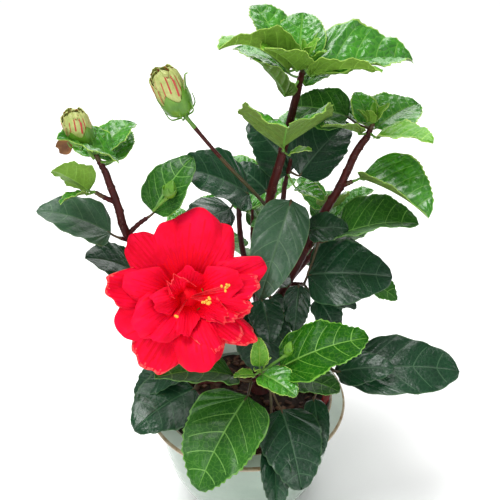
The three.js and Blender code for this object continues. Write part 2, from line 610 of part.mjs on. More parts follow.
// Petals on a ring round the throat, joined with the calyx behind them and its stalk.
function bloomSolid() {
  const facing = direction(BLOOM.azimuth, BLOOM.rise);
  const right = UP.clone().cross(facing).normalize();
  const top = facing.clone().cross(right);
  const throat = vector(BLOOM.centre).addScaledVector(facing, -BLOOM.throat);
  const pieces = PETALS.map((spec, index) => {
    const turn = rad(spec.turn);
    const outward = right.clone().multiplyScalar(Math.cos(turn)).addScaledVector(top, Math.sin(turn));
    const base = throat.clone().addScaledVector(outward, BLOOM.clawRadius);
    const reach = outward.clone().multiplyScalar(spec.reach - BLOOM.clawRadius)
      .addScaledVector(facing, BLOOM.throat + spec.lift);
    const along = reach.clone().normalize();
    const side = along.clone().cross(facing).normalize();
    const normal = side.clone().cross(along);
    return solidOf(bladeGeometry({ base, along, side, normal }, {
      length: reach.length(),
      thickness: BLOOM.thickness,
      outline: (u) => (spec.width / 2) * petalOutline(u),
      stations: [0, 0.35, 0.7, 1],
      columns: spec.width < BLOOM.narrow ? 2 : 3,
      fold: 0,
      arch: BLOOM.arch,
      ruffle: (u, v) => BLOOM.ruffle * u * u * Math.sin(v * BLOOM.ruffleWaves + index * BLOOM.ruffleTurn),
    }));
  });
  const calyx = {
    base: throat.clone().addScaledVector(facing, -BLOOM.calyxLength * BLOOM.calyxDepth).toArray(),
    azimuth: BLOOM.azimuth,
    rise: BLOOM.rise,
    length: BLOOM.calyxLength,
    radius: BLOOM.calyxRadius,
    stalk: BLOOM.stalk,
    stalkRadius: BLOOM.stalkRadius,
  };
  return wasm.Manifold.union([...pieces, ...budSolids(calyx)]);
}
addPart(BLOOM.name, geometryOf(mainBody(bloomSolid().subtract(clearSpace[BLOOM.on]))), 0xf2143c, 0.5);

const tallBud = wasm.Manifold.union(budSolids(TALL_BUD)).subtract(clearSpace[TALL_BUD.on]);
addPart(TALL_BUD.name, geometryOf(mainBody(tallBud)), 0xb9c46a, 0.55);

export default hibiscus;
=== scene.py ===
"""Looks of a potted hibiscus shrub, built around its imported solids.

Sizes and places are in millimetres, as in the solids, and become metres when a mesh is made. The
plant grows by the same rule as its solids: woody limbs, shoots that stand on them, and leaves whose
stalks root in the shoots. Each finish is a small class, and each sub-assembly builds its own pieces.
"""

import logging
import math
from dataclasses import dataclass, field, replace
from enum import Enum

import bpy
import numpy as np
from mathutils import Euler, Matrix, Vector


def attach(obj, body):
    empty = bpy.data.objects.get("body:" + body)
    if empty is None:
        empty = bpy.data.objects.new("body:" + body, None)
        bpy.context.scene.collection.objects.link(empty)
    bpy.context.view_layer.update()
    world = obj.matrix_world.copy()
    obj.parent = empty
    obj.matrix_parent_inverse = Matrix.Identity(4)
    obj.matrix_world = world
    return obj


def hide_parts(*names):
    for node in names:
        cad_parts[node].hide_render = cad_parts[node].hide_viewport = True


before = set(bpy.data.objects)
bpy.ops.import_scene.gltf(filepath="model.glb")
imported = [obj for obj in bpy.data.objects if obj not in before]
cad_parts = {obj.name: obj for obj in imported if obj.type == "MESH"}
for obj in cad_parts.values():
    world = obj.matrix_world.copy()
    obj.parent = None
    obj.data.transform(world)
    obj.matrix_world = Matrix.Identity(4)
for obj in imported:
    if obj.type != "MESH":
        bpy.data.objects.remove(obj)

LOG = logging.getLogger("hibiscus")
MM = 0.001
BODY = "root"
UP = np.array([0.0, 0.0, 1.0])
GOLDEN_ANGLE = 137.5
TINY = 1e-9
FULL_TURN = 2 * math.pi
MIX_FIRST, MIX_SECOND, MIX_RESULT = 6, 7, 2  # the colour sockets of a mix node
Point = tuple[float, float, float]
Colour = tuple[float, float, float]
Array = np.ndarray
Number = float | Array
Axes = tuple[Array, Array, Array]
Tree = bpy.types.NodeTree
Socket = bpy.types.NodeSocket
Sockets = bpy.types.bpy_prop_collection


# ---------- directions and curves


def direction(azimuth: float, rise: float) -> Array:
    """Returns the unit vector at an azimuth and a rise.

    Args:
        azimuth: degrees, anticlockwise from +X.
        rise: degrees above the level.

    Returns:
        The unit vector.
    """
    a, e = math.radians(azimuth), math.radians(rise)
    return np.array([math.cos(e) * math.cos(a), math.cos(e) * math.sin(a), math.sin(e)])


def unit(vector: Array) -> Array:
    """Returns a vector at length one."""
    return vector / max(float(np.linalg.norm(vector)), TINY)


def lerp(start: Number, end: Number, share: Number) -> Number:
    """Returns the value at a share of the way from start to end."""
    return start + (end - start) * share


def curve_at(points: list[Point] | Array, shares: Array | list[float]) -> Array:
    """Returns places on a smooth curve through points.

    Args:
        points: the places that the curve passes, in order.
        shares: how far along the curve each wanted place is, from 0 to 1.

    Returns:
        The places, one row for each share.
    """
    given = np.asarray(points, float)
    padded = np.vstack([2 * given[0] - given[1], given, 2 * given[-1] - given[-2]])
    spans = len(given) - 1
    found = []
    for share in shares:
        span = min(int(share * spans), spans - 1)
        w = share * spans - span
        before, start, end, after = padded[span : span + 4]
        t0, t1 = 0.5 * (end - before), 0.5 * (after - start)
        found.append(start + t0 * w + (3 * (end - start) - 2 * t0 - t1) * w**2
                     + (2 * (start - end) + t0 + t1) * w**3)
    return np.array(found)


def smooth_curve(points: list[Point] | Array, count: int) -> Array:
    """Returns count + 1 places spread along a smooth curve through points."""
    return curve_at(points, np.linspace(0, 1, count + 1))


class SeededRandom:
    """A linear congruential generator, the same one as in the solids."""

    def __init__(self, seed: int) -> None:
        """Starts the row of numbers from a seed."""
        self.state = seed

    def next(self) -> float:
        """Returns the next number from 0 to 1."""
        self.state = (self.state * 1664525 + 1013904223) % 4294967296
        return self.state / 4294967296

    def scatter(self, width: float) -> float:
        """Returns a number spread evenly over a width, round zero."""
        return (self.next() - 0.5) * width


# ---------- finishes


def shader_group(name: str, inputs: dict[str, tuple[str, object]],
                 outputs: dict[str, str]) -> tuple[Tree, Sockets, Sockets]:
    """Makes an empty shader node group with named sockets.

    Args:
        name: the group's name.
        inputs: socket name to its type and default.
        outputs: socket name to its type.

    Returns:
        The group, what comes into it and what it gives out.
    """
    group = bpy.data.node_groups.new(name, "ShaderNodeTree")
    for label, (kind, default) in inputs.items():
        socket = group.interface.new_socket(label, in_out="INPUT", socket_type=f"NodeSocket{kind}")
        socket.default_value = default
    for label, kind in outputs.items():
        group.interface.new_socket(label, in_out="OUTPUT", socket_type=f"NodeSocket{kind}")
    asked = group.nodes.new("NodeGroupInput").outputs
    return group, asked, group.nodes.new("NodeGroupOutput").inputs


def add_node(tree: Tree, kind: str, group: Tree | None = None, **values: object) -> bpy.types.Node:
    """Adds a node to a material, a world or a group.

    Args:
        tree: takes the node.
        kind: the node's type, as its name has it after ShaderNode.
        group: the shared group that a group node shows.
        **values: what its inputs are set to, by their names with _ for a space.

    Returns:
        The node.
    """
    made = tree.nodes.new(f"ShaderNode{kind}")
    if group:
        made.node_tree = group
    fill_in(made, **values)
    return made


def fill_in(node: bpy.types.Node, **values: object) -> None:
    """Sets inputs of a node, each by its name with _ for a space."""
    for label, value in values.items():
        node.inputs[label.replace("_", " ")].default_value = value


def wire(tree: Tree, *pairs: tuple[Socket, Socket]) -> None:
    """Links each pair of sockets, from an output to an input."""
    for source, target in pairs:
        tree.links.new(source, target)


def blend(tree: Tree, share: Socket, first: Socket, second: Socket) -> Socket:
    """Mixes two colours.

    Args:
        tree: takes the node.
        share: how much of the second colour there is.
        first: the first colour.
        second: the second colour.

    Returns:
        The mixed colour.
    """
    mix = add_node(tree, "Mix")
    mix.data_type = "RGBA"
    wire(tree, (share, mix.inputs["Factor"]), (first, mix.inputs[MIX_FIRST]),
         (second, mix.inputs[MIX_SECOND]))
    return mix.outputs[MIX_RESULT]


class SharedEffects:
    """The node groups that several finishes use."""

    def __init__(self) -> None:
        """Builds each group once."""
        self.mottle = self._mottle()
        self.relief = self._relief()
        self.specks = self._specks()
        self.net = self._net()

    @staticmethod
    def _noise(group: Tree, asked: Sockets) -> Socket:
        """Adds noise on object coordinates.

        Args:
            group: takes the nodes.
            asked: the group's inputs, with Scale and Stretch among them.

        Returns:
            The noise.
        """
        place = add_node(group, "TexCoord")
        noise = add_node(group, "TexNoise", Detail=4.0, Roughness=0.6)
        scaled = add_node(group, "VectorMath")
        scaled.operation = "MULTIPLY"
        wire(group, (place.outputs["Object"], scaled.inputs[0]), (asked["Stretch"], scaled.inputs[1]),
             (scaled.outputs["Vector"], noise.inputs["Vector"]), (asked["Scale"], noise.inputs["Scale"]))
        return noise.outputs["Fac"]

    @staticmethod
    def _cells(group: Tree, asked: Sockets) -> bpy.types.Node:
        """Adds cells on object coordinates.

        Args:
            group: takes the nodes.
            asked: the group's inputs, with Scale among them.

        Returns:
            The node of the cells.
        """
        place = add_node(group, "TexCoord")
        cells = add_node(group, "TexVoronoi")
        wire(group, (place.outputs["Object"], cells.inputs["Vector"]),
             (asked["Scale"], cells.inputs["Scale"]))
        return cells

    def _mottle(self) -> Tree:
        """Returns a group that lays two colours in soft patches, with the patches as a mask."""
        group, asked, given = shader_group(
            "mottle",
            {"Base": ("Color", (1, 1, 1, 1)), "Patch": ("Color", (0, 0, 0, 1)),
             "Scale": ("Float", 60.0), "Stretch": ("Vector", (1, 1, 1))},
            {"Color": "Color", "Mask": "Float"})
        noise = self._noise(group, asked)
        ramp = add_node(group, "MapRange", From_Min=0.36, From_Max=0.66)
        mask = ramp.outputs["Result"]
        wire(group, (noise, ramp.inputs["Value"]), (mask, given["Mask"]),
             (blend(group, mask, asked["Base"], asked["Patch"]), given["Color"]))
        return group

    def _relief(self) -> Tree:
        """Returns a group with a fine rough height."""
        group, asked, given = shader_group(
            "fine_relief", {"Scale": ("Float", 600.0), "Stretch": ("Vector", (1, 1, 1))},
            {"Height": "Float"})
        wire(group, (self._noise(group, asked), given["Height"]))
        return group

    def _specks(self) -> Tree:
        """Returns a group that scatters small dark specks over a colour."""
        group, asked, given = shader_group(
            "specks",
            {"Color": ("Color", (1, 1, 1, 1)), "Speck": ("Color", (0, 0, 0, 1)),
             "Scale": ("Float", 120.0), "Size": ("Float", 0.1)},
            {"Color": "Color"})
        cells = self._cells(group, asked)
        under = add_node(group, "Math")
        under.operation = "LESS_THAN"
        speckled = blend(group, under.outputs["Value"], asked["Color"], asked["Speck"])
        wire(group, (cells.outputs["Distance"], under.inputs[0]), (asked["Size"], under.inputs[1]),
             (speckled, given["Color"]))
        return group

    def _net(self) -> Tree:
        """Returns a group with a net of fine sunken lines and small swellings in its meshes."""
        group, asked, given = shader_group(
            "fine_net",
            {"Color": ("Color", (1, 1, 1, 1)), "Line": ("Color", (0, 0, 0, 1)), "Height": ("Float", 0.0),
             "Scale": ("Float", 240.0), "Depth": ("Float", 1.0)},
            {"Color": "Color", "Height": "Float"})
        cells = self._cells(group, asked)
        cells.feature = "DISTANCE_TO_EDGE"
        line = add_node(group, "MapRange", From_Max=0.07, To_Min=0.55, To_Max=0.0)
        swell = add_node(group, "MapRange", From_Max=0.38)
        swell.interpolation_type = "SMOOTHSTEP"
        deep = add_node(group, "Math")
        deep.operation = "MULTIPLY_ADD"
        netted = blend(group, line.outputs["Result"], asked["Color"], asked["Line"])
        wire(group, (cells.outputs["Distance"], line.inputs["Value"]),
             (cells.outputs["Distance"], swell.inputs["Value"]), (swell.outputs["Result"], deep.inputs[0]),
             (asked["Depth"], deep.inputs[1]), (asked["Height"], deep.inputs[2]),
             (netted, given["Color"]), (deep.outputs["Value"], given["Height"]))
        return group


@dataclass(frozen=True)
class Finish:
    """One surface finish: two close colours in patches, a gloss and a fine relief.

    A relief is its scale and its depth. With net_depth above zero, fine lines run over the surface in
    a net and sink into it.
    """

    name: str
    base: Colour
    patch: Colour
    patch_scale: float = 60.0
    stretch: Point = (1.0, 1.0, 1.0)
    roughness: tuple[float, float] = (0.42, 0.52)
    specular: float = 0.5
    coat: float = 0.0
    coat_roughness: float = 0.2
    sheen: float = 0.0
    subsurface: float = 0.0
    relief: tuple[float, float] = (700.0, 0.15)
    speck: Colour | None = None
    speck_scale: float = 130.0
    speck_size: float = 0.09
    net: Colour = (0.0, 0.0, 0.0)
    net_scale: float = 240.0
    net_depth: float = 0.0

    def material(self, effects: SharedEffects) -> bpy.types.Material:
        """Builds the material.

        Args:
            effects: the shared node groups.

        Returns:
            The material, made once and then reused by name.
        """
        found = bpy.data.materials.get(self.name)
        if found:
            return found
        made = bpy.data.materials.new(self.name)
        made.use_nodes = True
        tree = made.node_tree
        shader = tree.nodes["Principled BSDF"]
        fill_in(shader, Specular_IOR_Level=self.specular, Coat_Weight=self.coat,
                Coat_Roughness=self.coat_roughness, Sheen_Weight=self.sheen,
                Subsurface_Weight=self.subsurface, Subsurface_Scale=SUBSURFACE_REACH)
        relief_scale, relief_depth = self.relief
        mottle = add_node(tree, "Group", effects.mottle, Base=(*self.base, 1.0),
                          Patch=(*self.patch, 1.0), Scale=self.patch_scale, Stretch=self.stretch)
        colour = mottle.outputs["Color"]
        if self.speck:
            specks = add_node(tree, "Group", effects.specks, Speck=(*self.speck, 1.0),
                              Scale=self.speck_scale, Size=self.speck_size)
            wire(tree, (colour, specks.inputs["Color"]))
            colour = specks.outputs["Color"]
        relief = add_node(tree, "Group", effects.relief, Scale=relief_scale, Stretch=self.stretch)
        height = relief.outputs["Height"]
        if self.net_depth:
            net = add_node(tree, "Group", effects.net, Line=(*self.net, 1.0), Scale=self.net_scale,
                           Depth=self.net_depth)
            wire(tree, (colour, net.inputs["Color"]), (height, net.inputs["Height"]))
            colour, height = net.outputs["Color"], net.outputs["Height"]
        gloss = add_node(tree, "MapRange", To_Min=self.roughness[0], To_Max=self.roughness[1])
        bump = add_node(tree, "Bump", Strength=relief_depth, Distance=RELIEF_HEIGHT)
        wire(tree, (colour, shader.inputs["Base Color"]), (mottle.outputs["Mask"], gloss.inputs["Value"]),
             (gloss.outputs["Result"], shader.inputs["Roughness"]), (height, bump.inputs["Height"]),
             (bump.outputs["Normal"], shader.inputs["Normal"]))
        return made


SUBSURFACE_REACH = 0.002  # metres
RELIEF_HEIGHT = 0.0006  # metres


# ---------- meshes


@dataclass
class Shell:
    """Gathers the faces of many small forms, in millimetres, into one mesh."""

    points: list[Array] = field(default_factory=list)
    faces: list[tuple[int, ...]] = field(default_factory=list)
    slots: list[int] = field(default_factory=list)
    count: int = 0

    def add(self, points: Array, faces: list[tuple[int, ...]], slots: int | list[int]) -> None:
        """Adds one form.

        Args:
            points: its places, one row each.
            faces: its faces, as rows of the places.
            slots: the finish of each face, or one for all.
        """
        self.points.append(points)
        self.faces.extend(tuple(i + self.count for i in f) for f in faces)
        self.slots.extend([slots] * len(faces) if isinstance(slots, int) else slots)
        self.count += len(points)

    def sheet(self, top: Array, under: Array, slots: Array | int,
              under_slots: Array | int, rim_slot: int) -> None:
        """Adds a closed thin sheet from its two faces, laid out as rows and columns.

        Args:
            top: the upper face, rows by columns by 3.
            under: the lower face, in the same layout.
            slots: the finish of each upper patch, rows - 1 by columns - 1, or one for all.
            under_slots: the same for the lower face.
            rim_slot: the finish of the edge.
        """
        rows, columns = top.shape[:2]
        slots = np.broadcast_to(slots, (rows - 1, columns - 1))
        under_slots = np.broadcast_to(under_slots, (rows - 1, columns - 1))
        t = np.arange(rows * columns).reshape(rows, columns)
        b = t + rows * columns
        faces, marks = [], []
        for r in range(rows - 1):
            for c in range(columns - 1):
                faces.append((t[r, c], t[r, c + 1], t[r + 1, c + 1], t[r + 1, c]))
                marks.append(int(slots[r, c]))
                faces.append((b[r + 1, c], b[r + 1, c + 1], b[r, c + 1], b[r, c]))
                marks.append(int(under_slots[r, c]))
        last_row, last = rows - 1, columns - 1
        for c in range(columns - 1):
            faces.append((t[0, c + 1], t[0, c], b[0, c], b[0, c + 1]))
            faces.append((t[last_row, c], t[last_row, c + 1], b[last_row, c + 1], b[last_row, c]))
        for r in range(rows - 1):
            faces.append((t[r + 1, last], t[r, last], b[r, last], b[r + 1, last]))
            faces.append((t[r, 0], t[r + 1, 0], b[r + 1, 0], b[r, 0]))
        marks += [rim_slot] * (len(faces) - len(marks))
        self.add(np.vstack([top.reshape(-1, 3), under.reshape(-1, 3)]), faces, marks)

    def tube(self, line: Array, radii: Array, sides: int, slot: int | list[int],
             relief: Array | None = None) -> None:
        """Adds a round limb with closed ends.

        Args:
            line: the middle line, one row a place.
            radii: the radius at each place.
            sides: how many sides the limb has.
            slot: its finish, or one for each step along it.
            relief: what each place round the skin stands out, places by sides.
        """
        steps = np.gradient(line, axis=0)
        tangents = steps / np.maximum(np.linalg.norm(steps, axis=1, keepdims=True), TINY)
        upright = abs(tangents[0][2]) >= 0.9
        side = unit(np.cross(tangents[0], np.array([1.0, 0, 0]) if upright else UP))
        angles = np.arange(sides) * 2 * math.pi / sides
        rings = []
        for i, tangent in enumerate(tangents):
            side = unit(side - tangent * float(side @ tangent))
            other = np.cross(tangent, side)
            out = np.outer(np.cos(angles), side) + np.outer(np.sin(angles), other)
            reach = radii[i] + (relief[i] if relief is not None else 0.0)
            rings.append(line[i] + out * np.reshape(reach * np.ones(sides), (-1, 1)))
        points = np.vstack([*rings, line[:1], line[-1:]])
        faces, marks = [], []
        n = len(line)
        for i in range(n - 1):
            for j in range(sides):
                k = (j + 1) % sides
                faces.append((i * sides + j, i * sides + k, (i + 1) * sides + k, (i + 1) * sides + j))
                marks.append(slot if isinstance(slot, int) else slot[i])
        for j in range(sides):
            k = (j + 1) % sides
            faces.append((n * sides, k, j))
            faces.append((n * sides + 1, (n - 1) * sides + j, (n - 1) * sides + k))
            marks += [marks[0], marks[-1]]
        self.add(points, faces, marks)

    def piece(self, name: str, finishes: list[Finish], effects: SharedEffects,
              smooth: float = 50.0) -> bpy.types.Object:
        """Makes the mesh an object that rides on the plant.

        Args:
            name: the piece's name.
            finishes: the finishes, in the order of the slots.
            effects: the shared node groups.
            smooth: faces that meet at less than this many degrees are shaded as one.

        Returns:
            The finished object, in place.
        """
        mesh = bpy.data.meshes.new(name)
        mesh.from_pydata((np.vstack(self.points) * MM).tolist(), [], self.faces)
        mesh.polygons.foreach_set("material_index", self.slots)
        made = new_object(name, mesh)
        for finish in finishes:
            mesh.materials.append(finish.material(effects))
        select_only(made)
        bpy.ops.object.mode_set(mode="EDIT")
        bpy.ops.mesh.select_all(action="SELECT")
        bpy.ops.mesh.remove_doubles(threshold=SAME_PLACE)
        bpy.ops.object.mode_set(mode="OBJECT")
        bpy.ops.object.shade_smooth_by_angle(angle=math.radians(smooth))
        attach(made, BODY)
        LOG.info("%s: %d faces", name, len(mesh.polygons))
        return made


SAME_PLACE = 0.000002  # metres


def new_object(name: str, data: bpy.types.ID) -> bpy.types.Object:
    """Makes an object of a mesh, a lamp or a camera, and puts it in the scene."""
    made = bpy.data.objects.new(name, data)
    bpy.context.scene.collection.objects.link(made)
    return made


def select_only(made: bpy.types.Object) -> None:
    """Deselects everything, then selects one object and makes it active."""
    bpy.ops.object.select_all(action="DESELECT")
    made.select_set(True)
    bpy.context.view_layer.objects.active = made


def grid(rows: int, columns: int) -> tuple[Array, Array]:
    """Returns the shares along and across a sheet, the first from 0 to 1 and the second from -1 to 1."""
    return np.linspace(0, 1, rows)[:, None], np.linspace(-1, 1, columns)[None, :]


# ---------- leaves


class Age(Enum):
    """How old a leaf is, which sets its colour and its shape."""

    YOUNG = "young"
    BRIGHT = "bright"
    GROWN = "grown"
    LUSH = "lush"
    OLD = "old"
    # A grey-green leaf: an old leaf's green made paler and greyer, which is painted sheen, the sky's
    # reflection on its gloss.
    GREY_SHEEN = "grey_sheen"
    WITHERED = "withered"


@dataclass(frozen=True)
class LeafAge:
    """What all leaves of one age share. Sizes are shares of the leaf's length."""

    width: float
    fold: float
    arch: float
    quilt: float
    wave: float
    teeth: float
    blade: Finish
    vein: Finish
    under: Finish
    rim: Finish

    def finishes(self) -> list[Finish]:
        """Returns the finishes in the order of the slots."""
        return [self.blade, self.vein, self.under, self.rim]


@dataclass(frozen=True)
class LeafSkin:
    """The surface of a leaf's upper face: how glossy it is and how coarse its net of veins."""

    gloss: tuple[float, float]
    coat: float
    net_scale: float
    net_depth: float
    specular: float = 0.3


def shaded(colour: Colour, share: float) -> Colour:
    """Returns a colour at a share of its brightness, darker below one and paler above it."""
    return tuple(share * part for part in colour)


def leaf_finishes(age: str, base: Colour, patch: Colour, vein: Colour, under: Colour, rim: Colour,
                  skin: LeafSkin) -> dict[str, Finish]:
    """Makes the four finishes of a leaf.

    Args:
        age: the age's name.
        base: the upper face.
        patch: the patches on it.
        vein: the veins.
        under: the lower face.
        rim: the edge.
        skin: the surface of the upper face.

    Returns:
        The finishes by the name of their field.
    """
    between = tuple(lerp(b, v, 0.5) for b, v in zip(base, vein))
    return {
        "blade": Finish(f"{age}_leaf", base, patch, 45.0, roughness=skin.gloss, coat=skin.coat,
                        coat_roughness=0.2, specular=skin.specular, relief=(420.0, 0.55),
                        net=between, net_scale=skin.net_scale, net_depth=skin.net_depth),
        "vein": Finish(f"{age}_leaf_vein", vein, shaded(vein, 0.75), 90.0, relief=(700.0, 0.05)),
        "under": Finish(f"{age}_leaf_underside", under, shaded(under, 0.8), 60.0, roughness=(0.5, 0.62),
                        specular=0.3, relief=(420.0, 0.4), net=shaded(under, 1.35),
                        net_scale=skin.net_scale, net_depth=0.5),
        "rim": Finish(f"{age}_leaf_rim", rim, shaded(rim, 0.8), 90.0, relief=(700.0, 0.05)),
    }


AGES: dict[Age, LeafAge] = {
    Age.YOUNG: LeafAge(0.70, 18, 0.05, 0.024, 0.024, 0.020, **leaf_finishes(
        "young", (0.155, 0.40, 0.022), (0.085, 0.29, 0.016), (0.30, 0.56, 0.07), (0.17, 0.33, 0.035),
        (0.40, 0.62, 0.10), LeafSkin((0.36, 0.46), 0.25, 230.0, 1.1))),
    Age.BRIGHT: LeafAge(0.78, 14, 0.06, 0.036, 0.022, 0.020, **leaf_finishes(
        "bright", (0.058, 0.285, 0.016), (0.030, 0.175, 0.012), (0.16, 0.42, 0.05), (0.15, 0.26, 0.045),
        (0.30, 0.52, 0.07), LeafSkin((0.20, 0.30), 0.7, 170.0, 2.4))),
    Age.GROWN: LeafAge(0.80, 8, 0.07, 0.015, 0.020, 0.017, **leaf_finishes(
        "grown", (0.027, 0.130, 0.011), (0.015, 0.082, 0.009), (0.15, 0.37, 0.060), (0.075, 0.150, 0.030),
        (0.11, 0.29, 0.035), LeafSkin((0.32, 0.42), 0.14, 250.0, 0.4, 0.18))),
    Age.LUSH: LeafAge(0.80, 8, 0.07, 0.020, 0.022, 0.017, **leaf_finishes(
        "lush", (0.017, 0.120, 0.0045), (0.010, 0.075, 0.0035), (0.15, 0.38, 0.035), (0.09, 0.20, 0.02),
        (0.16, 0.42, 0.03), LeafSkin((0.34, 0.44), 0.05, 250.0, 0.5, 0.08))),
    Age.OLD: LeafAge(0.78, 6, 0.08, 0.012, 0.022, 0.016, **leaf_finishes(
        "old", (0.0085, 0.050, 0.019), (0.0055, 0.033, 0.013), (0.036, 0.108, 0.045), (0.055, 0.110, 0.036),
        (0.030, 0.095, 0.030), LeafSkin((0.26, 0.36), 0.26, 260.0, 0.5))),
    # Painted sheen: these greys stand for the sky's reflection on a glossy old leaf.
    Age.GREY_SHEEN: LeafAge(0.78, 8, 0.08, 0.010, 0.020, 0.014, **leaf_finishes(
        "grey_sheen", (0.036, 0.095, 0.046), (0.025, 0.070, 0.035), (0.070, 0.155, 0.070), (0.085, 0.15, 0.075),
        (0.07, 0.15, 0.06), LeafSkin((0.34, 0.44), 0.20, 260.0, 0.3))),
    Age.WITHERED: LeafAge(0.50, 30, 0.12, 0.020, 0.050, 0.026, **leaf_finishes(
        "withered", (0.33, 0.19, 0.055), (0.20, 0.10, 0.035), (0.24, 0.12, 0.05), (0.36, 0.25, 0.10),
        (0.18, 0.09, 0.03), LeafSkin((0.6, 0.75), 0.0, 300.0, 0.8))),
}
AGE_ORDER = list(Age)
FRESH = (Age.YOUNG, Age.BRIGHT)
BLADE, VEIN, UNDER, RIM = range(4)


@dataclass(frozen=True)
class Leaf:
    """One leaf: where its blade starts, where it points, and how it is shaped."""

    base: Point
    azimuth: float
    rise: float
    length: float
    age: Age | None = None
    width: float | None = None
    roll: float = 0.0
    fold: float | None = None
    arch: float | None = None
    roundness: float = 0.62
    curl: float = 0.02
    wave: float = 1.0
    teeth: float = 1.0

    def settled(self, age: Age) -> "Leaf":
        """Returns the leaf with what it leaves open filled in from its age.

        Args:
            age: the age of its shoot.

        Returns:
            A leaf with nothing open.
        """
        own = self.age or age
        common = AGES[own]
        return replace(self, age=own,
                       width=common.width if self.width is None else self.width,
                       fold=common.fold if self.fold is None else self.fold,
                       arch=common.arch if self.arch is None else self.arch)

    def axes(self) -> Axes:
        """Returns the leaf's directions: along it, across it and out of its upper face."""
        along = direction(self.azimuth, self.rise)
        level = unit(np.cross(along, UP))
        upright = np.cross(level, along)
        turn = math.radians(self.roll)
        return (along, level * math.cos(turn) + upright * math.sin(turn),
                upright * math.cos(turn) - level * math.sin(turn))


def leaf(x: float, y: float, z: float, azimuth: float, rise: float, length: float,
         age: Age | None = None, **look: object) -> Leaf:
    """Writes down a leaf.

    Args:
        x: of the blade's base.
        y: of the blade's base.
        z: of the blade's base.
        azimuth: degrees, from the base to the tip.
        rise: degrees, from the base to the tip.
        length: of the blade.
        age: where it isn't its shoot's.
        **look: any other field of a leaf.

    Returns:
        The leaf.
    """
    return Leaf((x, y, z), azimuth, rise, length, age, **look)


# These have two even teeth in each field between veins. The others have one saw tooth.
SERRATE = (Age.YOUNG, Age.BRIGHT, Age.GROWN, Age.LUSH)


